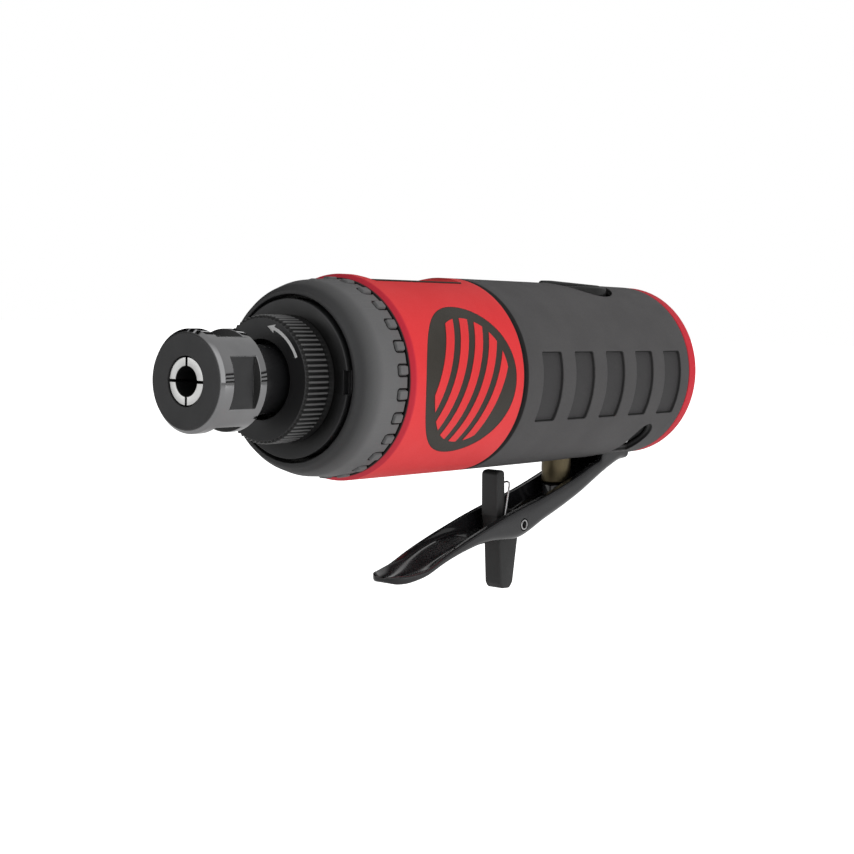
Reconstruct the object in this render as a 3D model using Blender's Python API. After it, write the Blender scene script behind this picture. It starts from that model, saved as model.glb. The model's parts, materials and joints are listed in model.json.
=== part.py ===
"""Straight pneumatic die grinder with a collet, a squeeze throttle lever and a lock-off lever.

Everything is drawn in millimetres in the tool's own coordinates: X runs along the spindle from the
collet nut's front face (0) to the air inlet, Z is up, and the throttle lever hangs below.  The
helpers turn millimetres into metres.  One empty carries the whole tool to its origin, the centre
of its bounding box, and each moving group hangs on an empty that sits on its joint's axis.
"""

import math

import bmesh
import bpy
from mathutils import Matrix, Vector

MM = 0.001
GAP = 0.3  # clearance between neighbouring pieces
WELD = 1e-6  # metres; joins the seam of a turned shape

# Driving dimensions, in millimetres.
OVERALL_LENGTH = 173.5
KNOB_TOP = 23.9
LOCK_TAB_TIP = -54.9
BODY_RADIUS = 23.4
TAIL_RADIUS = 22.8
GRIP_BORE = 21.3  # inner radius of both grip sleeves
HOUSING_RADIUS = GRIP_BORE - GAP
MOTOR_BORE = 17.6
NUT_RADIUS = 10.92
NUT_LENGTH = 13.26
FLAT_DISTANCE = 9.36  # spindle axis to each wrench flat of the nut
COLLET_BORE = 3.175  # a quarter inch across
RED_START, RED_END = 45.3, 87.3
GRIP_END = 162.1
TAIL_END = 166.5
VALVE_X = 133.7
REGULATOR_X = 137.0
REGULATOR_POCKET = 11.4
REGULATOR_FLOOR = 19.6
LEVER_PIVOT = (149.5, 0.0, -17.2)
LOCK_PIVOT = (111.3, 0.0, -38.2)
LEVER_HALF_WIDTH = 6.5
LEVER_WALL = 1.6
PIVOT_HOLE = 1.8  # radius of the hole for the lever's pivot pin
LOCK_HOLE = 1.65  # radius of the hole for the lock-off pin
RETAINER_AT = (140.3, 13.2)  # x and z of the pin that keeps the regulator in
RETAINER_RADIUS = 0.8
DELIVERY_Z = -12.6  # height of the passage from the throttle valve to the motor
DOWEL_Z = -15.0
LINER_OFFSET = 1.1  # the liner's bore sits this far above the rotor's axis
ROTOR_RADIUS = 12.3
VANE_THICKNESS = 1.5
FRONT_BEARING = {"bore": 6.0, "outside": 14.0, "front": 33.0, "back": 41.0, "balls": 8, "ball": 2.0}
REAR_BEARING = {"bore": 4.0, "outside": 11.0, "front": 93.5, "back": 100.5, "balls": 7, "ball": 1.7}

BODY_SIDES = 36
SIDES = 24
SMALL_SIDES = 16

ORIGIN = Vector((-OVERALL_LENGTH / 2, 0, -(KNOB_TOP + LOCK_TAB_TIP) / 2)) * MM

PALETTE = {
    "red_rubber": ((0.62, 0.06, 0.06), 0.55, 0.0),
    "grey_rubber": ((0.09, 0.088, 0.09), 0.62, 0.0),
    "cap_grey": ((0.12, 0.12, 0.12), 0.6, 0.0),
    "badge_grey": ((0.035, 0.033, 0.03), 0.55, 0.0),
    "housing_composite": ((0.03, 0.03, 0.03), 0.5, 0.0),
    "black_oxide": ((0.02, 0.02, 0.02), 0.25, 0.8),
    "black_gloss": ((0.01, 0.01, 0.01), 0.12, 0.0),
    "black_satin": ((0.02, 0.02, 0.02), 0.4, 0.0),
    "bright_steel": ((0.75, 0.75, 0.75), 0.25, 1.0),
    "bearing_steel": ((0.6, 0.6, 0.62), 0.2, 1.0),
    "cast_iron": ((0.2, 0.2, 0.2), 0.5, 0.9),
    "brass": ((0.42, 0.33, 0.14), 0.4, 1.0),
    "phenolic": ((0.28, 0.13, 0.05), 0.6, 0.0),
    "seal_rubber": ((0.015, 0.015, 0.015), 0.7, 0.0),
    "felt": ((0.35, 0.33, 0.28), 0.95, 0.0),
}


# Scene, materials and empties


def clear_scene():
    for obj in list(bpy.data.objects):
        bpy.data.objects.remove(obj, do_unlink=True)


def make_material(name):
    colour, roughness, metallic = PALETTE[name]
    made = bpy.data.materials.new(name)
    made.use_nodes = True
    shader = made.node_tree.nodes["Principled BSDF"]
    shader.inputs["Base Color"].default_value = (*colour, 1.0)
    shader.inputs["Roughness"].default_value = roughness
    shader.inputs["Metallic"].default_value = metallic
    return made


def link(obj):
    bpy.context.scene.collection.objects.link(obj)
    return obj


def make_pivot(name, parent, position, parent_position=(0, 0, 0)):
    """An empty on a joint's axis; both positions are in tool millimetres."""
    pivot = link(bpy.data.objects.new(name, None))
    pivot.empty_display_size = 5 * MM
    pivot.parent = parent
    pivot.location = (Vector(position) - Vector(parent_position)) * MM
    pivot["at_mm"] = tuple(position)
    return pivot


def hang(obj, pivot):
    """Parents an object that is drawn in tool coordinates to a pivot, leaving it in place."""
    obj.parent = pivot
    obj.location = -Vector(pivot["at_mm"]) * MM


def finish(name, bm, material, pivot):
    """Turns a bmesh into a named node."""
    mesh = bpy.data.meshes.new(name)
    bmesh.ops.remove_doubles(bm, verts=bm.verts, dist=WELD)
    bmesh.ops.recalc_face_normals(bm, faces=bm.faces)
    bm.to_mesh(mesh)
    bm.free()
    mesh.materials.append(bpy.data.materials[material])
    mesh.shade_smooth()
    mesh.set_sharp_from_angle(angle=math.radians(32))
    obj = link(bpy.data.objects.new(name, mesh))
    hang(obj, pivot)
    return obj


def combine(obj, bm, operation):
    """Adds a Boolean modifier whose helper object stays hidden from renders."""
    helper = finish(f"{obj.name}_{operation.lower()}_{len(obj.modifiers)}", bm, "black_satin", obj.parent)
    helper.hide_render = True
    helper.display_type = "WIRE"
    modifier = obj.modifiers.new(operation.title(), "BOOLEAN")
    modifier.operation = operation
    modifier.solver = "EXACT"
    modifier.object = helper


def cut(obj, *shapes):
    for shape in shapes:
        combine(obj, shape, "DIFFERENCE")


def add(obj, *shapes):
    for shape in shapes:
        combine(obj, shape, "UNION")


# Shapes


def joined(shapes):
    """One bmesh that holds several shapes which don't touch."""
    whole = bmesh.new()
    for shape in shapes:
        mesh = bpy.data.meshes.new("loose")
        shape.to_mesh(mesh)
        shape.free()
        whole.from_mesh(mesh)
        bpy.data.meshes.remove(mesh)
    return whole


def turned(outline, sides=SIDES, start=0.0, sweep=360.0):
    """A closed outline of (x, radius) points turned about X.

    Angles are in degrees from +Z: 90 points along -Y, 180 down and 270 along +Y.
    """
    bm = bmesh.new()
    first = Matrix.Rotation(math.radians(start), 3, "X")
    verts = [bm.verts.new(first @ Vector((x, 0, r)) * MM) for x, r in outline]
    edges = []
    for (_, r1), (_, r2), a, b in zip(outline, outline[1:] + outline[:1], verts, verts[1:] + verts[:1]):
        if r1 > 0 or r2 > 0:
            edges.append(bm.edges.new((a, b)))
    made = bmesh.ops.spin(
        bm,
        geom=verts + edges,
        cent=(0, 0, 0),
        axis=(1, 0, 0),
        angle=math.radians(sweep),
        steps=sides,
    )
    if sweep < 360:
        last = [item for item in made["geom_last"] if isinstance(item, bmesh.types.BMEdge)]
        bmesh.ops.edgeloop_fill(bm, edges=edges)
        bmesh.ops.edgeloop_fill(bm, edges=last)
    bmesh.ops.remove_doubles(bm, verts=bm.verts, dist=WELD)
    bmesh.ops.recalc_face_normals(bm, faces=bm.faces)
    return bm


def stood(bm, at):
    """Stands a shape turned about X upright, on a vertical line through (x, y)."""
    upright = Matrix.Rotation(math.radians(-90), 4, "Y")
    bm.transform(Matrix.Translation(Vector((*at, 0)) * MM) @ upright)
    return bm


def crosswise(bm, at):
    """Lays a shape turned about X along Y, through (x, z)."""
    sideways = Matrix.Rotation(math.radians(90), 4, "Z")
    bm.transform(Matrix.Translation(Vector((at[0], 0, at[1])) * MM) @ sideways)
    return bm


def moved(bm, offset):
    bm.transform(Matrix.Translation(Vector(offset) * MM))
    return bm


def rod(low, high, radius, sides=SMALL_SIDES):
    return turned([(low, 0), (low, radius), (high, radius), (high, 0)], sides)


def ring(low, high, inner, outer, sides=SIDES):
    return turned([(low, inner), (low, outer), (high, outer), (high, inner)], sides)


def box(low, high):
    bm = bmesh.new()
    bmesh.ops.create_cube(bm, size=1)
    size = Vector(high) - Vector(low)
    middle = (Vector(high) + Vector(low)) / 2
    bm.transform(Matrix.Translation(middle * MM) @ Matrix.Diagonal((*(size * MM), 1)))
    return bm


def prism(outline, low, high):
    """An (x, z) outline extruded along Y."""
    bm = bmesh.new()
    face = bm.faces.new([bm.verts.new(Vector((x, low, z)) * MM) for x, z in outline])
    made = bmesh.ops.extrude_face_region(bm, geom=[face], use_keep_orig=True)
    top = [item for item in made["geom"] if isinstance(item, bmesh.types.BMVert)]
    bmesh.ops.translate(bm, verts=top, vec=Vector((0, high - low, 0)) * MM)
    bmesh.ops.recalc_face_normals(bm, faces=bm.faces)
    return bm


def radial_boxes(count, x, radii, width, start=0.0):
    """Boxes that stand round the spindle; x and radii are (low, high) pairs."""
    shapes = []
    for index in range(count):
        shape = box((x[0], -width / 2, radii[0]), (x[1], width / 2, radii[1]))
        turn = Matrix.Rotation(math.radians(start + index * 360 / count), 4, "X")
        shape.transform(turn)
        shapes.append(shape)
    return joined(shapes)


def arc_points(centre, radius, start, end, steps):
    """Points on an arc in a plane; angles in degrees."""
    points = []
    for index in range(steps + 1):
        angle = math.radians(start + (end - start) * index / steps)
        points.append((centre[0] + radius * math.cos(angle), centre[1] + radius * math.sin(angle)))
    return points


def curved_oval(centre_x, half_length, half_angle, inner, outer, facing, steps=12):
    """An oval patch of a cylinder's wall, centred on the angle facing."""
    bm = bmesh.new()
    rows = []
    for index in range(steps + 1):
        t = math.radians(-90 + 180 * index / steps)
        turn = Matrix.Rotation(math.radians(facing + half_angle * math.sin(t)), 3, "X")
        reach = half_length * max(math.cos(t), 0)
        corners = [(-reach, inner), (reach, inner), (reach, outer), (-reach, outer)]
        rows.append([bm.verts.new(turn @ Vector((centre_x + x, 0, r)) * MM) for x, r in corners])
    for low, high in zip(rows, rows[1:]):
        for k in range(4):
            bm.faces.new((low[k], low[(k + 1) % 4], high[(k + 1) % 4], high[k]))
    bm.faces.new(rows[0])
    bm.faces.new(rows[-1])
    bmesh.ops.remove_doubles(bm, verts=bm.verts, dist=WELD)
    bmesh.ops.dissolve_degenerate(bm, dist=WELD, edges=bm.edges)
    bmesh.ops.recalc_face_normals(bm, faces=bm.faces)
    return bm


def wire(name, points, radius, material, pivot):
    """A round wire along a path of (x, y, z) points."""
    curve = bpy.data.curves.new(name, "CURVE")
    curve.dimensions = "3D"
    curve.bevel_depth = radius * MM
    curve.bevel_resolution = 1
    curve.use_fill_caps = True
    curve.twist_mode = "MINIMUM"
    spline = curve.splines.new("POLY")
    spline.points.add(len(points) - 1)
    for target, point in zip(spline.points, points):
        target.co = (*(Vector(point) * MM), 1)
    curve.materials.append(bpy.data.materials[material])
    obj = link(bpy.data.objects.new(name, curve))
    hang(obj, pivot)
    return obj


# Collet and spindle nose


def collet_nut(pivot):
    lip = 5.3
    thread = 7.8
    outline = [
        (0, lip), (0, 9.9), (1.1, NUT_RADIUS), (NUT_LENGTH - 0.4, NUT_RADIUS),
        (NUT_LENGTH, NUT_RADIUS - 0.4), (NUT_LENGTH, thread), (4.2, thread), (3.4, 6.6), (1.5, lip),
    ]
    nut = finish("collet_nut", turned(outline), "black_oxide", pivot)
    cut(nut, radial_boxes(4, (3.5, 11.2), (FLAT_DISTANCE, 13), 11.3))


def collet(pivot):
    front, shoulder_front, shoulder_back, back = 0.35, 1.7, 3.3, 16.0
    outline = [
        (front, COLLET_BORE), (front, 5.0), (shoulder_front, 5.0), (2.9, 5.95),
        (shoulder_back, 5.95), (back, 4.7), (back, COLLET_BORE),
    ]
    piece = finish("collet", turned(outline), "bright_steel", pivot)
    cut(piece, radial_boxes(4, (front - 1, 12.0), (2, 8), 0.6))


def collet_body(pivot):
    thread, collar = 7.4, 7.6
    outline = [
        (4.8, 6.2), (4.8, 7.1), (5.1, thread), (14.0, thread), (14.0, collar), (26.3, collar),
        (26.3, 4.3), (17.9, 4.3), (17.9, 3.4), (16.6, 3.4), (16.6, 5.05),
    ]
    piece = finish("collet_body", turned(outline), "black_oxide", pivot)
    cut(piece, radial_boxes(2, (14.6, 20.6), (7.0, 9), 12))


# Air motor


def rotor(pivot):
    shaft_thread, journal, tail = 4.0, FRONT_BEARING["bore"] - GAP, REAR_BEARING["bore"] - GAP
    outline = [
        (18.3, 0), (18.3, shaft_thread), (26.6, shaft_thread), (26.6, journal), (46.5, journal),
        (46.5, ROTOR_RADIUS), (87.9, ROTOR_RADIUS), (87.9, tail), (100.75, tail), (100.75, 3.1),
        (102.05, 3.1), (102.05, tail), (104.0, tail), (104.0, 0),
    ]
    piece = finish("rotor", turned(outline), "bearing_steel", pivot)
    cut(piece, radial_boxes(4, (46.0, 88.4), (5.6, 14), VANE_THICKNESS + 2 * GAP))


def vanes(pivot):
    for index in range(4):
        shape = box((46.8, -VANE_THICKNESS / 2, 6.0), (87.6, VANE_THICKNESS / 2, 12.1))
        shape.transform(Matrix.Rotation(math.radians(90 * index), 4, "X"))
        finish(f"vane_{index + 1}", shape, "phenolic", pivot)


def bearing_groove(bearing, side):
    """Points of the groove that clears the balls; side is -1 on the inner ring, +1 on the outer."""
    middle = (bearing["front"] + bearing["back"]) / 2
    pitch = (bearing["bore"] + bearing["outside"]) / 2
    reach = bearing["ball"] + GAP
    return [
        (middle + reach * math.cos(math.radians(angle)), pitch + side * reach * math.sin(math.radians(angle)))
        for angle in (45, 90, 135)
    ]


def bearing(name, spec, fixed, turning, cage_pivot):
    """A deep-groove ball bearing as inner ring, outer ring and one cage with its balls."""
    front, back = spec["front"], spec["back"]
    pitch = (spec["bore"] + spec["outside"]) / 2
    reach = spec["ball"] + GAP
    inner_land = pitch - reach * math.sin(math.radians(45))
    outer_land = pitch + reach * math.sin(math.radians(45))
    inner = [(back, inner_land), *bearing_groove(spec, -1), (front, inner_land)]
    inner += [(front, spec["bore"]), (back, spec["bore"])]
    outer = [(back, outer_land), *bearing_groove(spec, 1), (front, outer_land)]
    outer += [(front, spec["outside"]), (back, spec["outside"])]
    finish(f"{name}_inner_ring", turned(inner), "bearing_steel", turning)
    finish(f"{name}_outer_ring", turned(outer), "bearing_steel", fixed)

    middle = (front + back) / 2
    cage = ring(middle - 1.0, middle + 1.0, pitch - 0.9, pitch + 0.9)
    balls = []
    for index in range(spec["balls"]):
        ball = bmesh.new()
        bmesh.ops.create_icosphere(ball, subdivisions=1, radius=spec["ball"] * MM)
        turn = Matrix.Rotation(2 * math.pi * index / spec["balls"], 4, "X")
        ball.transform(turn @ Matrix.Translation(Vector((middle, 0, pitch)) * MM))
        balls.append(ball)
    piece = finish(f"{name}_cage", cage, "bearing_steel", cage_pivot)
    add(piece, joined(balls))


def cylinder_liner(fixed):
    low, high = 46.2, 88.2
    liner = finish("cylinder_liner", rod(low, high, MOTOR_BORE - GAP, SIDES), "cast_iron", fixed)
    bore = moved(rod(low - 1, high + 1, 13.8, SIDES), (0, 0, LINER_OFFSET))
    exhaust = joined([box((x, -20, -4), (x + 3, -10, 4)) for x in (54, 62, 70, 78)])
    intake = joined([box((x, 10, -3), (x + 2.5, 20, 3)) for x in (58, 74)])
    dowels = moved(rod(low - 1, low + 5, 1.3), (0, 0, DOWEL_Z))
    rear_dowels = moved(rod(high - 5, high + 1, 1.3), (0, 0, DOWEL_Z))
    cut(liner, bore, exhaust, intake, joined([dowels, rear_dowels]))


def end_plates(fixed):
    plate_radius = MOTOR_BORE - GAP
    front = finish("front_end_plate", ring(41.4, 45.9, 6.7, plate_radius), "cast_iron", fixed)
    cut(front, moved(rod(42.6, 47, 1.3), (0, 0, DOWEL_Z)))
    pocket = REAR_BEARING["outside"] + GAP
    outline = [
        (88.5, 4.6), (88.5, plate_radius), (101.0, plate_radius), (101.0, pocket), (93.2, pocket),
        (93.2, 4.6),
    ]
    rear = finish("rear_end_plate", turned(outline), "cast_iron", fixed)
    cut(rear, moved(rod(88.0, 92.0, 1.3), (0, 0, DOWEL_Z)))
    finish("front_dowel_pin", moved(rod(42.9, 50.6, 1.0), (0, 0, DOWEL_Z)), "bright_steel", fixed)
    finish("rear_dowel_pin", moved(rod(83.8, 91.7, 1.0), (0, 0, DOWEL_Z)), "bright_steel", fixed)
    finish("preload_washer", ring(101.3, 102.2, 12.2, plate_radius), "bright_steel", fixed)


def spindle_small_parts(turning):
    finish("front_bearing_spacer", ring(26.6, 32.7, 6.0, 7.4), "bright_steel", turning)
    circlip = finish("rotor_circlip", ring(101.0, 101.8, 3.4, 5.4, SMALL_SIDES), "bright_steel", turning)
    cut(circlip, box((100, -1.6, 0), (103, 1.6, 8)))


# Nose


def clamp_ring(fixed):
    """The knurled ring that screws into the housing and clamps the motor."""
    knurl, flange, skirt = 14.04, 17.6, MOTOR_BORE - GAP
    bearing_seat = FRONT_BEARING["outside"] + GAP
    outline = [
        (21.96, 8.6), (21.96, 13.3), (22.6, knurl), (30.2, knurl), (30.4, flange), (31.7, flange),
        (31.7, skirt), (40.8, skirt), (40.8, bearing_seat), (32.6, bearing_seat), (32.6, 11.0),
        (26.0, 11.0), (26.0, 8.6),
    ]
    bm = turned(outline, BODY_SIDES)
    step = 2 * math.pi / BODY_SIDES
    for vert in bm.verts:
        radius = math.hypot(vert.co.y, vert.co.z)
        index = round(math.atan2(vert.co.y, vert.co.z) / step)
        if abs(radius - knurl * MM) < 0.01 * MM and index % 2:
            vert.co.y *= 1 - 0.45 / knurl
            vert.co.z *= 1 - 0.45 / knurl
    ring_piece = finish("clamp_ring", bm, "black_satin", fixed)
    cut(ring_piece, box((30.0, -18.2, -2.6), (32.2, -16.5, 2.6)))
    finish("clamp_ring_o_ring", ring(33.9, 35.6, 17.8, 19.3), "seal_rubber", fixed)
    finish("front_dust_seal", ring(26.3, 30.0, 7.9, 10.7), "seal_rubber", fixed)


def nose_cap(fixed):
    """The rounded front bumper with a row of tabs round its rear edge."""
    tabs = 26
    outline = [
        (31.0, 18.4), (31.1, 19.4), (33.0, 20.7), (36.0, 21.8), (42.1, 22.2), (44.7, 22.2), (45.0, 21.9),
        (45.0, 19.9), (33.6, 19.9), (33.6, 18.4),
    ]
    bm = turned(outline, 2 * tabs)
    band = []
    for face in bm.faces:
        middle = face.calc_center_median() / MM
        index = round(math.degrees(math.atan2(middle.y, middle.z)) / (180 / tabs) - 0.5)
        if 42.1 < middle.x < 44.7 and math.hypot(middle.y, middle.z) > 22 and index % 2:
            band.append(face)
    for face in band:
        outward = face.calc_center_median()
        outward.x = 0
        made = bmesh.ops.extrude_face_region(bm, geom=[face])
        verts = [item for item in made["geom"] if isinstance(item, bmesh.types.BMVert)]
        bmesh.ops.translate(bm, verts=verts, vec=outward.normalized() * 0.45 * MM)
        bmesh.ops.delete(bm, geom=[face], context="FACES_ONLY")
    bm.transform(Matrix.Rotation(math.radians(90 / tabs), 4, "X"))
    finish("nose_cap", bm, "cap_grey", fixed)


# Housing and grips


def lever_slot():
    """Space for the lever's rear end and its ear."""
    return box((142.6, -6.9, -30), (159.5, 6.9, -12.8))


def lock_relief(bottom):
    """Groove that the lock-off lever's block swings through."""
    return box((107.3, -3.0, -30), (124.0, 3.0, bottom))


def regulator_pocket():
    return stood(rod(REGULATOR_FLOOR, 30, REGULATOR_POCKET, SIDES), (REGULATOR_X, 0))


def housing(fixed):
    """The composite body: motor bore in front, valve block behind, inlet and exhaust at the rear."""
    neck, back, seat_back = 19.6, 160.5, 155.2
    outline = [
        (36.0, MOTOR_BORE), (36.0, neck), (RED_START + 0.3, neck), (RED_START + 0.3, HOUSING_RADIUS),
        (back, HOUSING_RADIUS), (back, 10.6), (157.9, 10.6), (157.9, 8.8), (148.0, 8.8), (148.0, 0),
        (106.5, 0), (106.5, 8.0), (102.6, 8.0), (102.6, MOTOR_BORE),
    ]
    body = finish("housing", turned(outline, BODY_SIDES), "housing_composite", fixed)
    silencer_seat = turned(
        [(seat_back, 12.0), (seat_back, 18.8), (back + 1, 18.8), (back + 1, 12.0)], SIDES, 218, 284
    )
    exhaust_ducts = joined([moved(rod(95, 156, 2.6), (0, y, 0)) for y in (-15.1, 15.1)])
    valve_bore = stood(rod(-30, 6.0, 5.4), (VALVE_X, 0))
    regulator_bore = stood(rod(5.5, 30, 4.1), (REGULATOR_X, 0))
    supply = moved(rod(138, 149, 2.6), (0, 0, 8.2))
    delivery = moved(rod(101, VALVE_X, 2.4), (0, 0, DELIVERY_Z))
    retainer = crosswise(rod(-30, 9.4, RETAINER_RADIUS + GAP, 12), RETAINER_AT)
    lever_pin = crosswise(rod(-30, 30, PIVOT_HOLE), (LEVER_PIVOT[0], LEVER_PIVOT[2]))
    cut(body, silencer_seat, exhaust_ducts, valve_bore, regulator_bore, supply, delivery, retainer)
    cut(body, lever_slot(), lever_pin, lock_relief(-20.3), regulator_pocket())


def front_grip_sleeve(fixed):
    outline = [
        (RED_START, GRIP_BORE), (RED_START, 22.3), (46.4, BODY_RADIUS), (RED_END - 0.4, BODY_RADIUS),
        (RED_END - 0.15, BODY_RADIUS - 0.25), (RED_END - 0.15, GRIP_BORE),
    ]
    sleeve = finish("front_grip_sleeve", turned(outline, BODY_SIDES), "red_rubber", fixed)
    cut(sleeve, box((49.0, -8.0, 22.0), (82.0, 8.0, 26)))
    for facing in (90, 270):
        cut(sleeve, curved_oval(66.5, 17.0, 46, 22.2, 25, facing))


def badges(fixed):
    for name, facing in (("left_badge", 90), ("right_badge", 270)):
        shape = curved_oval(66.5, 16.6, 45, 22.2 + GAP, BODY_RADIUS, facing)
        finish(name, shape, "badge_grey", fixed)
    finish("rating_plate", box((49.3, -7.7, 22.05), (81.7, 7.7, 22.4)), "badge_grey", fixed)


def pin_recess(side):
    """Open-bottomed pocket in the grip that reaches the lever's pivot pin."""
    x, _, z = LEVER_PIVOT
    radius = 4.0
    outline = arc_points((x, z), radius, 0, 180, 6) + [(x - radius, -30), (x + radius, -30)]
    low, high = sorted((side * 9.0, side * 26.0))
    return prism(outline, low, high)


def rear_grip_sleeve(fixed):
    front = RED_END + 0.15
    outline = [
        (front, GRIP_BORE), (front, BODY_RADIUS - 0.25), (front + 0.25, BODY_RADIUS), (120, 23.25),
        (GRIP_END - 0.3, TAIL_RADIUS), (GRIP_END, TAIL_RADIUS - 0.3), (GRIP_END, GRIP_BORE),
    ]
    sleeve = finish("rear_grip_sleeve", turned(outline, BODY_SIDES), "grey_rubber", fixed)
    pockets = []
    for index in range(5):
        low = 94.2 + 13.8 * index
        high = low + 8.3
        outline = [(low, 22.3), (low, 25), (high, 25), (high, 22.3)]
        pockets.append(turned(outline, 5, 74, 43))
        pockets.append(turned(outline, 5, 243, 43))
    cut(sleeve, joined(pockets), regulator_pocket(), stood(rod(-30, 0, 5.6), (VALVE_X, 0)))
    cut(sleeve, lever_slot(), lock_relief(-15), pin_recess(-1), pin_recess(1))


# Tail: exhaust cap, silencer and air inlet


def tail(fixed):
    hole = 10.5
    outline = [
        (160.8, hole), (160.8, HOUSING_RADIUS), (162.4, HOUSING_RADIUS), (162.4, TAIL_RADIUS - 0.1),
        (TAIL_END - 0.9, TAIL_RADIUS - 0.1), (TAIL_END, TAIL_RADIUS - 1.0), (TAIL_END, hole),
    ]
    cap = finish("rear_cap", turned(outline, BODY_SIDES), "red_rubber", fixed)
    cut(cap, radial_boxes(12, (160, 167), (14.2, 18.6), 2.6, 15))
    silencer = [(155.5, 12.3), (155.5, 18.5), (160.2, 18.5), (160.2, 12.3)]
    finish("exhaust_silencer", turned(silencer, 28, 220, 280), "felt", fixed)

    flat_to_flat = 22.0
    hex_front = TAIL_END + 0.3
    corner = flat_to_flat / math.sqrt(3)
    head = turned([(hex_front, 0), (hex_front, corner), (OVERALL_LENGTH, corner), (OVERALL_LENGTH, 0)], 6)
    shank = turned([(148.6, 0), (148.6, 8.5), (160.0, 8.5), (160.0, 10.2), (168.0, 10.2), (168.0, 0)])
    bore = turned([(147, 0), (147, 4.4), (156.0, 4.4), (156.0, 5.6), (175, 5.6), (175, 0)])
    inlet = finish("air_inlet_bushing", head, "bright_steel", fixed)
    add(inlet, shank)
    cut(inlet, bore)
    finish("inlet_o_ring", ring(158.2, 159.7, 8.8, 10.3), "seal_rubber", fixed)
    screen = finish("inlet_screen", rod(156.3, 157.0, 5.3), "brass", fixed)
    holes = [moved(rod(155, 158, 0.9, 8), (0, 3.2 * y, 3.2 * z)) for y, z in arc_points((0, 0), 1, 0, 300, 5)]
    cut(screen, joined(holes))


# Throttle valve and regulator


def throttle_valve(fixed, plunger):
    x = VALVE_X
    outline = [(-21.0, 4.15), (-21.0, 5.1), (-5.0, 5.1), (-5.0, 2.6), (-11.0, 2.6), (-11.0, 4.15)]
    bushing = finish("throttle_valve_bushing", stood(turned(outline, SMALL_SIDES), (x, 0)), "brass", fixed)
    cut(bushing, moved(rod(x - 8, x, 1.5, 12), (0, 0, DELIVERY_Z)))
    seal = stood(ring(-4.4, -3.2, 4.6, 5.1, SMALL_SIDES), (x, 0))
    finish("valve_seat_ring", seal, "seal_rubber", fixed)
    stem = [
        (-29.3, 0), (-29.3, 3.4), (-28.9, 3.85), (-15.0, 3.85), (-15.0, 1.5), (-7.0, 1.5), (-7.0, 0),
    ]
    finish("throttle_plunger", stood(turned(stem, SMALL_SIDES), (x, 0)), "brass", plunger)
    poppet = [(-6.7, 0), (-6.7, 1.5), (-4.7, 1.5), (-4.7, 4.2), (-3.0, 4.2), (-3.0, 0)]
    finish("throttle_poppet", stood(turned(poppet, SMALL_SIDES), (x, 0)), "bright_steel", plunger)


def throttle_spring(pivot):
    turns, per_turn, radius, low, high = 4.5, 10, 3.5, -2.3, 5.3
    count = int(turns * per_turn)
    path = []
    for index in range(count + 1):
        angle = 2 * math.pi * index / per_turn
        height = low + (high - low) * index / count
        path.append((VALVE_X + radius * math.cos(angle), radius * math.sin(angle), height))
    wire("throttle_spring", path, 0.35, "bright_steel", pivot)


def regulator(fixed, pivot):
    x = REGULATOR_X
    disc, stem, groove, floor = 9.8, 3.2, 2.2, REGULATOR_FLOOR + GAP
    outline = [
        (8.2, 0), (8.2, 2.6), (8.6, stem), (12.1, stem), (12.1, groove), (14.3, groove), (14.3, stem),
        (15.6, stem), (15.6, groove), (17.4, groove), (17.4, stem), (floor, stem), (floor, disc),
        (22.2, disc), (22.6, disc - 0.4), (22.6, 0),
    ]
    knob = finish("regulator_knob", stood(turned(outline), (x, 0)), "black_satin", pivot)
    length, half_width = 10.4, 2.4
    bar = arc_points((length - half_width, 0), half_width, -90, 90, 6)
    bar += arc_points((half_width - 9.2, 0), half_width, 90, 270, 6)
    grip = prism(bar, 22.0, KNOB_TOP)
    lie_flat = Matrix.Rotation(math.radians(90), 4, "X")
    turn = Matrix.Rotation(math.radians(-21), 4, "Z")
    grip.transform(Matrix.Translation(Vector((x, 0, 0)) * MM) @ turn @ lie_flat)
    add(knob, grip)
    seal = stood(ring(15.9, 17.1, 2.5, 3.75, SMALL_SIDES), (x, 0))
    finish("regulator_o_ring", seal, "seal_rubber", pivot)
    pin = crosswise(rod(-9.0, 9.0, RETAINER_RADIUS, 12), RETAINER_AT)
    finish("regulator_retaining_pin", pin, "bright_steel", fixed)


# Throttle lever and lock-off


def lever_station(x, top, bottom, half_width):
    """The U-shaped cross-section of the lever at one place: (x, y, z) points."""
    wall = min(LEVER_WALL, half_width / 3)
    floor = min(bottom + LEVER_WALL, top - 0.2)
    edge = 1.2 if half_width > 4 else 0.4
    outer = [(-half_width, top), (-half_width, bottom + edge), (edge - half_width, bottom)]
    face = wall - half_width
    inner = [(face, top), (face, floor + 0.15), (face + edge / 2, floor)]
    left = [(x, y, z) for y, z in outer]
    right = [(x, -y, z) for y, z in reversed(outer)]
    back = [(x, -y, z) for y, z in inner] + [(x, y, z) for y, z in reversed(inner)]
    return left + right + back


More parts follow.
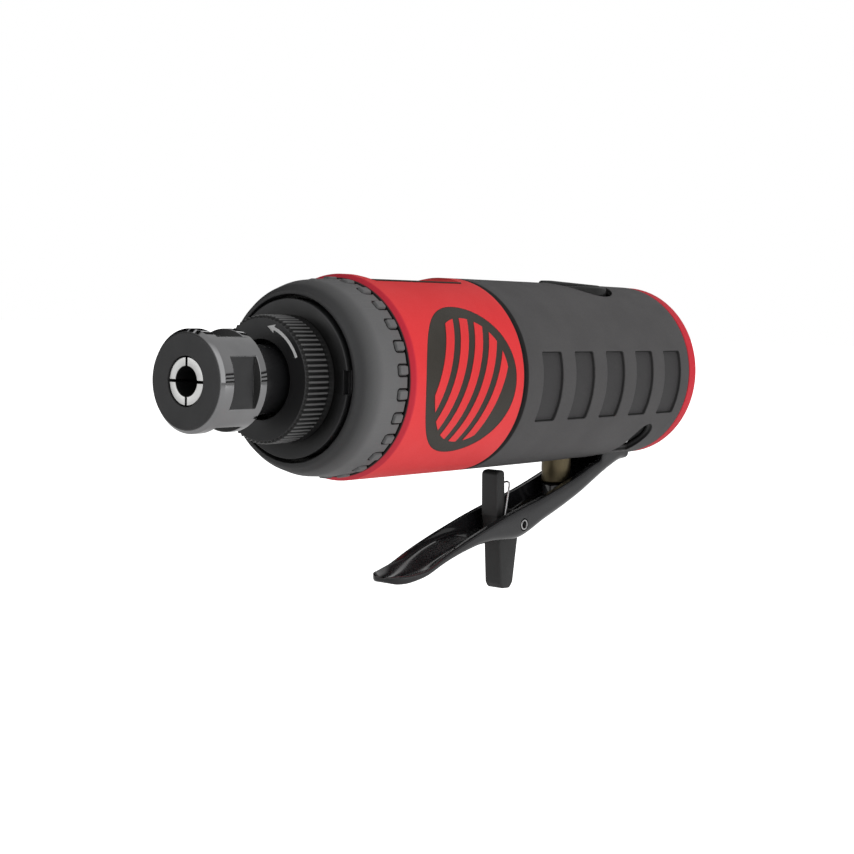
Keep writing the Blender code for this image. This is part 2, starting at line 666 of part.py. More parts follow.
def throttle_lever(pivot):
    width = LEVER_HALF_WIDTH
    stations = [
        (62.4, -47.5, -48.3, 1.0), (63.2, -47.4, -48.7, 2.4), (64.8, -47.4, -49.0, 3.8),
        (67.0, -47.3, -48.9, 4.9), (70.0, -46.9, -48.4, 5.8), (73.3, -46.0, -47.5, 6.3),
        (76.0, -45.0, -46.4, width), (79.0, -43.7, -45.4, width), (83.0, -42.2, -44.2, width),
        (89.5, -40.0, -42.7, width), (95.0, -38.3, -41.9, width), (108.4, -34.5, -41.9, width),
        (122.0, -31.2, -37.7, width), (136.0, -26.9, -32.6, width), (144.2, -23.9, -28.9, width),
        (146.2, -16.2, -27.9, width), (147.6, -14.4, -27.3, width), (149.5, -13.7, -26.5, width),
        (151.4, -14.4, -25.7, width), (152.9, -16.4, -25.1, width), (158.8, -21.2, -23.6, width),
    ]
    bm = bmesh.new()
    rows = [[bm.verts.new(Vector(p) * MM) for p in lever_station(*station)] for station in stations]
    for low, high in zip(rows, rows[1:]):
        for k in range(len(low)):
            following = (k + 1) % len(low)
            bm.faces.new((low[k], low[following], high[following], high[k]))
    bm.faces.new(rows[0])
    bm.faces.new(rows[-1])
    lever = finish("throttle_lever", bm, "black_gloss", pivot)
    boss_top, boss_foot = -29.3 - GAP, -32.8
    add(lever, stood(rod(boss_foot, boss_top, 3.2), (VALVE_X - 0.6, 0)))
    px, _, pz = LEVER_PIVOT
    lx, _, lz = LOCK_PIVOT
    cut(lever, box((94.0, -2.95, -46), (116.0, 2.95, -34)), box((108.2, -4.75, -46), (114.4, 0, -34)))
    cut(lever, crosswise(rod(-9, 9, PIVOT_HOLE), (px, pz)), crosswise(rod(-9, 9, LOCK_HOLE), (lx, lz)))


def lever_pins(fixed, lever):
    px, _, pz = LEVER_PIVOT
    lx, _, lz = LOCK_PIVOT
    finish("lever_pivot_pin", crosswise(rod(-11.7, 11.7, 1.5), (px, pz)), "bright_steel", fixed)
    roll_pin = crosswise(ring(-6.6, 6.6, 0.7, 1.35, SMALL_SIDES), (lx, lz))
    finish("lock_off_pin", roll_pin, "bright_steel", lever)


def lock_off_lever(pivot):
    x, _, z = LOCK_PIVOT
    hub = 3.5
    outline = [(105.2, -24.7), (107.2, -24.3), (107.9, -24.8), (108.3, -33.6)]
    outline += arc_points((x, z), hub, 95, -20, 4)
    outline += [
        (114.1, -42.8), (112.6, -53.4), (111.6, -54.5), (110.2, LOCK_TAB_TIP), (108.6, -54.6),
        (107.6, -53.6), (106.3, -42.0), (104.9, -36.0), (104.4, -25.6),
    ]
    block = finish("lock_off_lever", prism(outline, -2.55, 2.55), "black_satin", pivot)
    cut(block, crosswise(rod(-9, 9, LOCK_HOLE), (x, z)))


def lock_off_spring(pivot):
    """A torsion spring round the lock-off pin; its long leg lies behind the block."""
    x, _, z = LOCK_PIVOT
    radius, steps, step_angle, rise = 2.0, 22, 36.0, 0.068
    path = [(109.3, 1.4, -28.0), (109.1, -1.2, -27.9), (109.2, -3.0, -29.2)]
    start = 160.0
    for index in range(steps + 1):
        angle = math.radians(start - step_angle * index)
        path.append((x + radius * math.cos(angle), -3.1 - rise * index, z + radius * math.sin(angle)))
    path.append((x + 5.0, path[-1][1], z + 1.9))
    wire("lock_off_spring", path, 0.26, "bright_steel", pivot)


def main():
    clear_scene()
    for name in PALETTE:
        make_material(name)
    tool = link(bpy.data.objects.new("die_grinder", None))
    tool.location = ORIGIN
    tool["at_mm"] = (0.0, 0.0, 0.0)
    spindle = make_pivot("spindle_axis", tool, (60, 0, 0))
    front_cage = make_pivot("front_cage_axis", tool, (37, 0, 0))
    rear_cage = make_pivot("rear_cage_axis", tool, (97, 0, 0))
    collet_slide = make_pivot("collet_slide_axis", spindle, (10, 0, 0), (60, 0, 0))
    nut_turn = make_pivot("collet_nut_axis", collet_slide, (6, 0, 0), (10, 0, 0))
    regulator_axis = make_pivot("regulator_axis", tool, (REGULATOR_X, 0, 20))
    plunger = make_pivot("plunger_axis", tool, (VALVE_X, 0, -20))
    lever = make_pivot("throttle_lever_axis", tool, LEVER_PIVOT)
    lock_off = make_pivot("lock_off_axis", lever, LOCK_PIVOT, LEVER_PIVOT)

    collet_nut(nut_turn)
    collet(collet_slide)
    collet_body(spindle)
    rotor(spindle)
    vanes(spindle)
    spindle_small_parts(spindle)
    bearing("front_bearing", FRONT_BEARING, tool, spindle, front_cage)
    bearing("rear_bearing", REAR_BEARING, tool, spindle, rear_cage)
    cylinder_liner(tool)
    end_plates(tool)
    clamp_ring(tool)
    nose_cap(tool)
    housing(tool)
    front_grip_sleeve(tool)
    badges(tool)
    rear_grip_sleeve(tool)
    tail(tool)
    throttle_valve(tool, plunger)
    throttle_spring(tool)
    regulator(tool, regulator_axis)
    throttle_lever(lever)
    lever_pins(tool, lever)
    lock_off_lever(lock_off)
    lock_off_spring(lock_off)


main()
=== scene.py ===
"""Looks of the straight pneumatic die grinder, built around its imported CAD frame.

Pieces are drawn in tool millimetres: X runs along the spindle from the collet nut's front face (0)
to the air inlet, Z is up and -Y faces the viewer.  put() turns them into metres in the frame.
Angles round the spindle are in degrees from +Z: 90 points along -Y, 180 down and 270 along +Y.
"""

import json
import math

import bmesh
import bpy
from mathutils import Matrix, Vector


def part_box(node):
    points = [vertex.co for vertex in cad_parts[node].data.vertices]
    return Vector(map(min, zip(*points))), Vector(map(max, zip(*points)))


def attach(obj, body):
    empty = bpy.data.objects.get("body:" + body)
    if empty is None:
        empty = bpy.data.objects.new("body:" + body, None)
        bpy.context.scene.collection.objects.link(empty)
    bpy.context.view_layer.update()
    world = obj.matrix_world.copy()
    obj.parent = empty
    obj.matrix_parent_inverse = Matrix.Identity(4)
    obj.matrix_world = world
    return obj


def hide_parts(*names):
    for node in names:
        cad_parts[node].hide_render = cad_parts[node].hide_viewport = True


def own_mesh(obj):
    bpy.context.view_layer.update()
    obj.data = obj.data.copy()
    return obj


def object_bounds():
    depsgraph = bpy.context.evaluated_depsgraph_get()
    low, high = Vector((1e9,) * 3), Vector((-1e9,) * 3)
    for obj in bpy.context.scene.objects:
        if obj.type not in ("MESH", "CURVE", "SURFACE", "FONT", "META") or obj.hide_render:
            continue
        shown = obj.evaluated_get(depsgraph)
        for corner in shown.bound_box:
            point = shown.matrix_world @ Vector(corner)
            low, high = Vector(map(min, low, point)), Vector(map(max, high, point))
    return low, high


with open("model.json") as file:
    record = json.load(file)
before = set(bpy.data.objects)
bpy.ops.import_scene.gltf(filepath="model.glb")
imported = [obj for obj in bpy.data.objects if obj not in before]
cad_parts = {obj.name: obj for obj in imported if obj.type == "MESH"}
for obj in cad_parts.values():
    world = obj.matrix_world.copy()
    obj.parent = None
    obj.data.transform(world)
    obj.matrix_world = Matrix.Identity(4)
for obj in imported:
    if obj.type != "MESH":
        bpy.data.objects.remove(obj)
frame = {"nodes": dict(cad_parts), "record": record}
CAD_LOW, CAD_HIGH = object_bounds()

MM = 0.001
NUT_LOW, NUT_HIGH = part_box("collet_nut")
NOSE = Vector((NUT_LOW.x, (NUT_LOW.y + NUT_HIGH.y) / 2, (NUT_LOW.z + NUT_HIGH.z) / 2))
TO_FRAME = Matrix.Translation(NOSE) @ Matrix.Diagonal((MM, MM, MM, 1))
SLOTS = {row["node"]: row["material_slot"] for row in frame["record"]["subparts"]}

BODY_RADIUS = 23.4
SLEEVE_BORE = 21.3
TAPER_START = 87.45  # front of the rear grip
KNOB_X = 137.0  # axis of the regulator
TABS_FROM = 41.6  # front of the strip of tabs on the nose cap
PIN_HOLE = 1.65  # bore for the lock-off's hollow pin
CUT_PAST = 9  # half length of a cutter that goes right through the lever
WELD = 1e-4


def span(node):
    """Lowest and highest corner of a CAD node in tool millimetres."""
    low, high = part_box(node)
    return (low - NOSE) / MM, (high - NOSE) / MM


def ends(node):
    """Where a CAD node starts and stops along the spindle."""
    low, high = span(node)
    return low.x, high.x


def centre(node):
    low, high = span(node)
    return (low + high) / 2


# Materials


def grey(level):
    return (level, level, level)


# near black, used only for painted shade in crevices, pockets, gaps between parts, bores and recesses
SHADE_BLACK = grey(0.004)


class Nodes:
    """A node tree, with short calls for the nodes used here."""

    def __init__(self, owner):
        owner.use_nodes = True
        self.nodes = owner.node_tree.nodes
        self.links = owner.node_tree.links

    def add(self, kind, **settings):
        node = self.nodes.new(kind)
        for key, value in settings.items():
            setattr(node, key, value)
        return node

    def link(self, value, socket):
        if isinstance(value, bpy.types.NodeSocket):
            self.links.new(value, socket)
        else:
            socket.default_value = value

    def ranged(self, value, low, high, to_low=0.0, to_high=1.0):
        node = self.add("ShaderNodeMapRange", clamp=True)
        self.link(value, node.inputs["Value"])
        for key, number in (("From Min", low), ("From Max", high), ("To Min", to_low), ("To Max", to_high)):
            node.inputs[key].default_value = number
        return node.outputs["Result"]

    def maths(self, operation, a, b=0.0):
        node = self.add("ShaderNodeMath", operation=operation)
        self.link(a, node.inputs[0])
        self.link(b, node.inputs[1])
        return node.outputs["Value"]

    def mixed(self, share, a, b):
        node = self.add("ShaderNodeMix", data_type="RGBA")
        self.link(share, node.inputs["Factor"])
        colours = [socket for socket in node.inputs if socket.type == "RGBA"]
        for value, socket in zip((a, b), colours):
            self.link(value if isinstance(value, bpy.types.NodeSocket) else (*value, 1.0), socket)
        return next(socket for socket in node.outputs if socket.type == "RGBA")

    def times(self, a, b):
        return self.maths("MULTIPLY", a, b)

    def plus(self, a, b):
        return self.maths("ADD", a, b)


class Shader(Nodes):
    """A material whose nodes place everything by object coordinates."""

    def __init__(self, name):
        self.material = bpy.data.materials.new(name)
        super().__init__(self.material)
        self.surface = self.nodes["Principled BSDF"]
        self.place = self.add("ShaderNodeTexCoord").outputs["Object"]

    def noise(self, scale, detail=3.0, stretch=(1, 1, 1)):
        """Noise with scale features a metre, stretched along the axes."""
        mapping = self.add("ShaderNodeMapping")
        self.link(self.place, mapping.inputs["Vector"])
        mapping.inputs["Scale"].default_value = stretch
        noise = self.add("ShaderNodeTexNoise")
        self.link(mapping.outputs["Vector"], noise.inputs["Vector"])
        noise.inputs["Scale"].default_value = scale
        noise.inputs["Detail"].default_value = detail
        return noise.outputs["Fac"]

    def cells(self, scale):
        voronoi = self.add("ShaderNodeTexVoronoi", feature="SMOOTH_F1")
        self.link(self.place, voronoi.inputs["Vector"])
        voronoi.inputs["Scale"].default_value = scale
        return voronoi.outputs["Distance"]

    def edges(self, radius):
        """The rounded normal, and a mask that is 1 on outer and inner edges."""
        bevel = self.add("ShaderNodeBevel", samples=6)
        bevel.inputs["Radius"].default_value = radius
        geometry = self.add("ShaderNodeNewGeometry")
        dot = self.add("ShaderNodeVectorMath", operation="DOT_PRODUCT")
        self.link(bevel.outputs["Normal"], dot.inputs[0])
        self.link(geometry.outputs["Normal"], dot.inputs[1])
        return bevel.outputs["Normal"], self.ranged(dot.outputs["Value"], 0.97, 0.80)

    def turned(self, across, oxide, radius):
        """Tool marks, oxide, and the normal and mask of the edges, of a turned piece of metal."""
        marks = self.noise(1.0, 2.0, (5000.0, across, across))
        return marks, self.ranged(self.noise(oxide, 4.0), 0.35, 0.68), *self.edges(radius)

    def crevice_shade(self):
        """A mask of painted shade: a value that falls to 0 in corners and grooves."""
        node = self.add("ShaderNodeAmbientOcclusion", samples=8, only_local=False)
        node.inputs["Distance"].default_value = 0.0011
        return self.ranged(node.outputs["AO"], 0.30, 0.80)

    def tool_axes(self):
        """The place in tool millimetres, as three values."""
        split = self.add("ShaderNodeSeparateXYZ")
        self.link(self.place, split.inputs["Vector"])
        centred = [self.maths("SUBTRACT", split.outputs[k], NOSE[k]) for k in range(3)]
        return [self.maths("DIVIDE", value, MM) for value in centred]

    def radius(self):
        """Distance from the spindle's axis in millimetres."""
        _, y, z = self.tool_axes()
        return self.maths("SQRT", self.plus(self.times(y, y), self.times(z, z)))

    def from_axis(self, low, high):
        """0 nearer to the spindle's axis than low and 1 further than high; swapped values turn it round."""
        return self.ranged(self.radius(), low, high)

    def along(self, low, high):
        """0 in front of low and 1 behind high, from the nut's face; swapped values turn it round."""
        return self.ranged(self.tool_axes()[0], low, high)

    def bump(self, height, strength, distance, normal):
        node = self.add("ShaderNodeBump")
        node.inputs["Strength"].default_value = strength
        node.inputs["Distance"].default_value = distance
        self.link(height, node.inputs["Height"])
        self.link(normal, node.inputs["Normal"])
        return node.outputs["Normal"]

    def filled(self, values):
        """The finished material, with values for its surface."""
        for key, value in values.items():
            self.link(value, self.surface.inputs[key])
        return self.material

    def done(self, colour, roughness, metallic, normal, **more):
        values = {"Base Color": colour, "Roughness": roughness, "Metallic": metallic, "Normal": normal}
        return self.filled({**values, **more})


# Painters of zones, mostly painted shade and painted highlights: each soft border lies between two places or
# two radii in tool millimetres


def grip_zones(s, tone):
    """Painted shade: darker pocket floors, black pocket walls, black front and rear edges where the grip
    meets its neighbours, and a black inside.
    """
    lean = 0.00794  # fall of the surface for each millimetre back
    surface = s.maths("SUBTRACT", BODY_RADIUS + lean * TAPER_START, s.times(s.tool_axes()[0], lean))
    depth = s.maths("SUBTRACT", surface, s.radius())
    # painted shade: near black on the pocket walls and darker on the pocket floors
    sunk = s.mixed(s.ranged(depth, 0.66, 0.76), SHADE_BLACK, (0.036, 0.035, 0.036))
    tone = s.mixed(s.ranged(depth, 0.08, 0.18), tone, sunk)
    # painted shade: black at the joints in front of and behind the grip, and inside it
    tone = s.mixed(s.along(TAPER_START + 0.50, TAPER_START + 0.62), SHADE_BLACK, tone)
    tone = s.mixed(s.along(161.78, 161.88), tone, SHADE_BLACK)
    return s.mixed(s.from_axis(21.6, 21.8), SHADE_BLACK, tone)


def red_zones(s, tone):
    """Deeper red on the tail; painted shade as deeper red on the front lip, black front and rear edges and a
    black inside.
    """
    # painted shade: deeper red on the front lip, and black at its front edge
    tone = s.mixed(s.along(46.3, 46.9), (0.54, 0.012, 0.032), tone)
    tone = s.mixed(s.along(45.4, 45.6), SHADE_BLACK, tone)
    # painted shade: black at the rear edge, in the joint with the rear grip
    tone = s.mixed(s.along(85.95, 86.10), tone, SHADE_BLACK)
    tone = s.mixed(s.along(161.0, 162.0), tone, (0.52, 0.016, 0.030))
    # painted shade: black inside the sleeve
    inside = s.times(s.from_axis(SLEEVE_BORE + 0.2, SLEEVE_BORE), s.along(110.0, 100.0))
    return s.mixed(inside, tone, SHADE_BLACK)


def cap_zones(s, tone):
    """Painted shade: dark round the opening, and black in the grooves round the tabs."""
    # painted shade: darker towards the opening
    tone = s.mixed(s.along(32.3, 37.6), (0.024, 0.024, 0.025), tone)
    # painted shade: black in the grooves round the tabs
    groove = s.times(s.along(TABS_FROM, TABS_FROM + 0.1), s.from_axis(22.12, 22.02))
    return s.mixed(groove, tone, SHADE_BLACK)


def ring_zones(s, tone):
    """Painted highlights on the knurl's crests, and painted shade in black between them and on the neck
    behind.
    """
    knurl = s.times(s.along(22.1, 22.3), s.along(28.8, 28.5))
    # painted highlight on the crests and painted shade between them
    crest_highlight = s.mixed(s.from_axis(13.74, 13.92), SHADE_BLACK, grey(0.115))
    tone = s.mixed(knurl, tone, crest_highlight)
    # painted shade: black on the neck behind the knurl
    neck = s.times(s.along(28.5, 28.8), s.from_axis(17.3, 15.0))
    return s.mixed(neck, tone, SHADE_BLACK)


def moulded(name, colour, shade, roughness, worn, zones=None):
    """Moulded rubber or plastic: fine grain, faint cloudiness, rubbed edges and painted shade in crevices."""
    s = Shader(name)
    cloud = s.ranged(s.noise(70.0, 4.0), 0.35, 0.68)
    speck = s.ranged(s.noise(2600.0, 2.0), 0.42, 0.62)
    normal, edge = s.edges(0.00022)
    tone = s.mixed(s.times(cloud, 0.55), colour, shade)
    tone = s.mixed(s.times(speck, 0.12), tone, shade)
    rubbed = s.times(edge, s.ranged(s.noise(420.0, 3.0), 0.40, 0.66, 0.0, 0.5))
    tone = s.mixed(rubbed, tone, worn)
    rough = s.plus(s.ranged(cloud, 0, 1, roughness - 0.04, roughness + 0.05), s.times(speck, 0.04))
    # painted shade: black in corners and grooves
    tone = s.mixed(s.crevice_shade(), SHADE_BLACK, tone)
    if zones:
        tone = zones(s, tone)
    grain = s.plus(s.cells(5200.0), s.times(s.noise(1500.0, 3.0), 0.6))
    return s.done(tone, rough, 0.0, s.bump(grain, 0.28, 0.00005, normal))


def machined(name, colour, shade, roughness, worn, metallic=1.0, zones=None):
    """Metal with fine tool marks round the spindle, uneven oxide and brighter edges."""
    s = Shader(name)
    marks, cloud, normal, edge = s.turned(260.0, 160.0, 0.00016)
    tone = s.mixed(s.times(cloud, 0.6), colour, shade)
    rubbed = s.times(edge, s.ranged(s.noise(700.0, 3.0), 0.38, 0.62, 0.15, 0.85))
    tone = s.mixed(rubbed, tone, worn)
    if zones:
        tone = zones(s, tone)
    rough = s.ranged(cloud, 0, 1, roughness - 0.03, roughness + 0.06)
    rough = s.plus(rough, s.times(marks, 0.05))
    return s.done(tone, rough, metallic, s.bump(marks, 0.22, 0.000008, normal))


def nut_steel(name):
    """Blackened steel: satin on the face and the flats, polished where the nut was turned, with painted shade
    in black on the unpolished surfaces behind 10.5 mm.
    """
    s = Shader(name)
    marks, cloud, normal, edge = s.turned(260.0, 160.0, 0.00012)
    rim = s.from_axis(10.78, 10.86)
    chamfer = s.times(s.from_axis(10.1, 10.3), s.along(1.4, 1.2))
    turned = s.times(s.maths("MAXIMUM", rim, chamfer), s.along(0.12, 0.3))
    satin_and_shade = s.mixed(cloud, (0.034, 0.034, 0.035), (0.026, 0.026, 0.027))
    # painted shade: black on the flats' rear walls, the back face and the bore behind 10.5 mm
    satin_and_shade = s.mixed(s.along(10.2, 10.5), satin_and_shade, SHADE_BLACK)
    polished = s.mixed(cloud, (0.33, 0.33, 0.335), (0.29, 0.29, 0.295))
    tone = s.mixed(turned, satin_and_shade, polished)
    rubbed = s.times(edge, s.ranged(s.noise(700.0, 3.0), 0.38, 0.62, 0.1, 0.6))
    tone = s.mixed(rubbed, tone, grey(0.36))
    rough = s.plus(s.ranged(turned, 0, 1, 0.46, 0.045), s.times(marks, 0.03))
    return s.done(tone, rough, s.ranged(turned, 0, 1, 0.2, 1.0), s.bump(marks, 0.06, 0.000004, normal))


def collet_steel(name):
    """Bright ground steel, with painted shade that makes the bore and the slots near black."""
    s = Shader(name)
    marks, cloud, normal, edge = s.turned(400.0, 200.0, 0.0001)
    _, y, z = s.tool_axes()
    outside = s.ranged(s.maths("MINIMUM", s.maths("ABSOLUTE", y), s.maths("ABSOLUTE", z)), 0.31, 0.34)
    unshaded_ground = s.times(outside, s.from_axis(3.20, 3.32))
    tone = s.mixed(cloud, (0.90, 0.90, 0.89), (0.80, 0.80, 0.79))
    tone = s.mixed(s.times(edge, 0.3), tone, grey(0.95))
    # painted shade: near black in the bore and the slots
    tone = s.mixed(unshaded_ground, grey(0.006), tone)
    rough = s.plus(0.36, s.times(marks, 0.08))
    return s.done(tone, rough, s.ranged(unshaded_ground, 0, 1, 0.0, 1.0), s.bump(marks, 0.2, 0.000006, normal))


def painted(name, colour, shade, roughness, worn, coat):
    """Gloss or satin paint with faint orange peel, dust and rubbed corners."""
    s = Shader(name)
    cloud = s.ranged(s.noise(120.0, 4.0), 0.38, 0.66)
    dust = s.ranged(s.noise(3800.0, 2.0), 0.60, 0.72)
    normal, edge = s.edges(0.00022)
    tone = s.mixed(cloud, colour, shade)
    rubbed = s.times(edge, s.ranged(s.noise(520.0, 3.0), 0.45, 0.66, 0.0, 0.55))
    tone = s.mixed(rubbed, tone, worn)
    rough = s.plus(s.ranged(cloud, 0, 1, roughness - 0.02, roughness + 0.04), s.times(dust, 0.03))
    peel = s.bump(s.noise(900.0, 2.0), 0.08, 0.00002, normal)
    coating = {"Coat Weight": coat, "Coat Roughness": 0.05, "Specular IOR Level": 0.3}
    return s.done(tone, rough, 0.0, peel, **coating)


def fibrous(name, colour, shade):
    """Felt of the silencer: crossed fibres."""
    s = Shader(name)
    one_way = s.noise(1.0, 4.0, (600.0, 4200.0, 900.0))
    fibres = s.plus(one_way, s.noise(1.0, 4.0, (4200.0, 700.0, 1100.0)))
    tone = s.mixed(s.ranged(fibres, 0.8, 1.25), colour, shade)
    normal, _ = s.edges(0.0003)
    return s.done(tone, s.ranged(fibres, 0.8, 1.2, 0.9, 1.0), 0.0, s.bump(fibres, 0.8, 0.0002, normal))


FINISHES = {  # maker, colour, second colour, roughness, rubbed edges, then a metallic or coat share and zones
    "red_grip": (moulded, (0.71, 0.030, 0.034), (0.64, 0.024, 0.028), 0.60, (0.78, 0.09, 0.09), red_zones),
    "grey_grip": (
        moulded, (0.064, 0.062, 0.063), (0.055, 0.053, 0.054), 0.66, (0.12, 0.118, 0.12), grip_zones),
    "nose_cap": (moulded, (0.118, 0.118, 0.119), (0.100, 0.100, 0.102), 0.52, grey(0.15), cap_zones),
    "badge": (moulded, (0.030, 0.026, 0.020), (0.022, 0.019, 0.015), 0.55, (0.06, 0.055, 0.045)),
    "housing": (moulded, grey(0.012), grey(0.008), 0.6, grey(0.03)),
    "regulator": (moulded, grey(0.010), grey(0.006), 0.34, grey(0.05)),
    "lock_off": (moulded, grey(0.018), grey(0.012), 0.42, grey(0.06)),
    "seal": (moulded, grey(0.010), grey(0.014), 0.7, grey(0.03)),
    "vane": (moulded, (0.26, 0.12, 0.045), (0.18, 0.08, 0.03), 0.6, (0.34, 0.18, 0.08)),
    "clamp_ring": (
        machined, (0.024, 0.024, 0.025), (0.018, 0.018, 0.019), 0.32, grey(0.13), 0.3, ring_zones),
    "black_steel": (machined, (0.014, 0.014, 0.015), (0.010, 0.010, 0.011), 0.28, grey(0.05), 0.4),
    "collet_steel": (collet_steel,),
    "nut_steel": (nut_steel,),
    "steel": (machined, grey(0.62), (0.50, 0.50, 0.51), 0.24, grey(0.82)),
    "cast_iron": (machined, grey(0.16), grey(0.10), 0.5, grey(0.34)),
    "brass": (machined, (0.17, 0.14, 0.085), (0.12, 0.098, 0.06), 0.38, (0.36, 0.31, 0.20)),
    "lever": (painted, (0.006, 0.006, 0.007), (0.012, 0.012, 0.013), 0.16, grey(0.05), 0.6),
    "felt": (fibrous, (0.34, 0.31, 0.26), (0.20, 0.18, 0.15)),
    "print": (painted, grey(0.92), grey(0.78), 0.5, grey(0.95), 0.0),
}
MATERIALS = {name: make(name, *look) for name, (make, *look) in FINISHES.items()}


# Shapes, in tool millimetres


def meshed(name, bm):
    mesh = bpy.data.meshes.new(name)
    bm.to_mesh(mesh)
    bm.free()
    return mesh


def linked(name, data):
    obj = bpy.data.objects.new(name, data)
    bpy.context.scene.collection.objects.link(obj)
    return obj


def filleted(points, steps=4):
    """A closed outline whose corners given as (a, b, radius) are rounded."""
    made = []
    for index, point in enumerate(points):
        here = Vector(point[:2])
        if len(point) < 3:
            made.append(tuple(here))
            continue
        before = Vector(points[index - 1][:2]) - here
        after = Vector(points[(index + 1) % len(points)][:2]) - here
        half = before.angle(after) / 2
        reach = min(point[2] / math.tan(half), 0.48 * before.length, 0.48 * after.length)
        start, end = here + before.normalized() * reach, here + after.normalized() * reach
        middle = here + (before.normalized() + after.normalized()).normalized() * (reach / math.cos(half))
        arm = start - middle
        turn = arm.angle_signed(end - middle)
        for step in range(steps + 1):
            made.append(tuple(middle + Matrix.Rotation(-turn * step / steps, 2) @ arm))
    return made


def even(count):
    return [360 * index / count for index in range(count)]


def refined(low, high, coarse, marks, reach, fine):
    """Values from low to high, coarse apart, with fine ones within reach of each mark."""
    count = max(1, round((high - low) / coarse))
    values = [low + (high - low) * index / count for index in range(count + 1)]
    for mark in marks:
        steps = round(reach / fine)
        values += [mark + fine * step for step in range(-steps, steps + 1)]
    kept = []
    for value in sorted(min(max(value, low), high) for value in values):
        if not kept or value - kept[-1] > fine * 0.4:
            kept.append(value)
    kept[-1] = high
    return kept


def bridge(bm, low, high):
    """Faces between two closed rows of points; a row of one point is a pole."""
    count = max(len(low), len(high))
    for here in range(count if count > 1 else 0):
        after = (here + 1) % count
        if len(low) == 1:
            corners = (low[0], high[here], high[after])
        elif len(high) == 1:
            corners = (low[here], high[0], low[after])
        else:
            corners = (low[here], high[here], high[after], low[after])
        bm.faces.new(corners)


def at(x, radius, angle):
    turn = math.radians(angle)
    return (x, -radius * math.sin(turn), radius * math.cos(turn))


def lathe(outline, angles, shape=lambda x, radius, angle: radius):
    """A closed (x, radius) outline turned about X, through a count or a list of angles."""
    bm = bmesh.new()
    turns = even(angles) if isinstance(angles, int) else angles
    rows = []
    for x, radius in outline:
        if radius == 0:
            rows.append([bm.verts.new((x, 0, 0))])
        else:
            rows.append([bm.verts.new(at(x, shape(x, radius, turn), turn)) for turn in turns])
    for low, high in zip(rows, rows[1:] + rows[:1]):
        bridge(bm, low, high)
    return bm


def stood(bm, x):
    """Stands a shape turned about X upright at x."""
    bm.transform(Matrix.Translation((x, 0, 0)) @ Matrix.Rotation(math.radians(-90), 4, "Y"))
    return bm


def crosswise(bm, middle):
    """Lays a shape turned about X along Y, level with a point."""
    bm.transform(Matrix.Translation((middle.x, 0, middle.z)) @ Matrix.Rotation(math.radians(90), 4, "Z"))
    return bm


def rod(low, high, radius):
    return lathe([(low, 0), (low, radius), (high, radius), (high, 0)], 64)


def box(low, high):
    bm = bmesh.new()
    bmesh.ops.create_cube(bm, size=1)
    size = Vector(high) - Vector(low)
    bm.transform(Matrix.Translation((Vector(high) + Vector(low)) / 2) @ Matrix.Diagonal((*size, 1)))
    return bm


def plate(outline, low, high, bevel=0.0, segments=1):
    """An (x, z) outline extruded along Y, with the rims of both faces rounded."""
    bm = bmesh.new()
    rows = [[bm.verts.new((x, y, z)) for x, z in outline] for y in (low, high)]
    caps = [bm.faces.new(row) for row in rows]
    bridge(bm, rows[0], rows[1])
    bmesh.ops.recalc_face_normals(bm, faces=bm.faces)
    if bevel:
        rims = list({edge for cap in caps for edge in cap.edges})
        bmesh.ops.bevel(bm, geom=rims, offset=bevel, segments=segments, profile=0.5, affect="EDGES")
    return bm


def joined(shapes):
    """One bmesh that holds several shapes which don't touch."""
    whole = bmesh.new()
    for shape in shapes:
        mesh = meshed("loose", shape)
        whole.from_mesh(mesh)
        bpy.data.meshes.remove(mesh)
    return whole


def around(count, make, start=0.0):
    """Copies of a shape turned round the spindle; make() draws one at the top."""
    shapes = []
    for index in range(count):
        shape = make()
        shape.transform(Matrix.Rotation(math.radians(start + 360 * index / count), 4, "X"))
        shapes.append(shape)
    return joined(shapes)


def arc(middle, radius, start, end, steps):
    points = []
    for index in range(steps + 1):
        angle = math.radians(start + (end - start) * index / steps)
        points.append((middle[0] + radius * math.cos(angle), middle[1] + radius * math.sin(angle)))
    return points


def temporary(bm):
    bmesh.ops.recalc_face_normals(bm, faces=bm.faces)
    return linked("temporary", meshed("temporary", bm))


def evaluated(obj):
    """The object's final mesh as a bmesh; the object is removed."""
    graph = bpy.context.evaluated_depsgraph_get()
    made = bmesh.new()
    made.from_mesh(bpy.data.meshes.new_from_object(obj.evaluated_get(graph)))
    bpy.data.objects.remove(obj)
    return made


def worked(bm, *steps):
    """Applies Booleans in turn; each step is (operation, bmesh)."""
    base = temporary(bm)
    helpers = []
    for operation, tool in steps:
        helpers.append(temporary(tool))
        modifier = base.modifiers.new(operation, "BOOLEAN")
        modifier.operation = operation
        modifier.solver = "MANIFOLD"
        modifier.object = helpers[-1]
    made = evaluated(base)
    for helper in helpers:
        bpy.data.objects.remove(helper)
    return made


def cut(bm, *tools):
    return worked(bm, *[("DIFFERENCE", tool) for tool in tools])


def put(name, bm, body, slot, material=None, sharp=34):
    """Turns a bmesh in tool millimetres into a finished piece on a CAD body."""
    bmesh.ops.remove_doubles(bm, verts=bm.verts, dist=WELD)
    bmesh.ops.dissolve_degenerate(bm, dist=WELD, edges=bm.edges)
    bmesh.ops.recalc_face_normals(bm, faces=bm.faces)
    mesh = meshed(name, bm)
    mesh.transform(TO_FRAME)
    mesh.shade_smooth()
    mesh.set_sharp_from_angle(angle=math.radians(sharp))
    mesh.materials.append(MATERIALS[material or slot])
    piece = linked(name, mesh)
    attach(piece, body)
    return piece


def stand_in(node, bm, body="grinder_body", **look):
    """A piece that replaces a CAD node."""
    piece = put(f"{node}_visual", bm, body, SLOTS[node], **look)
    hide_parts(node)
    return piece


# Collet, nut and clamp ring


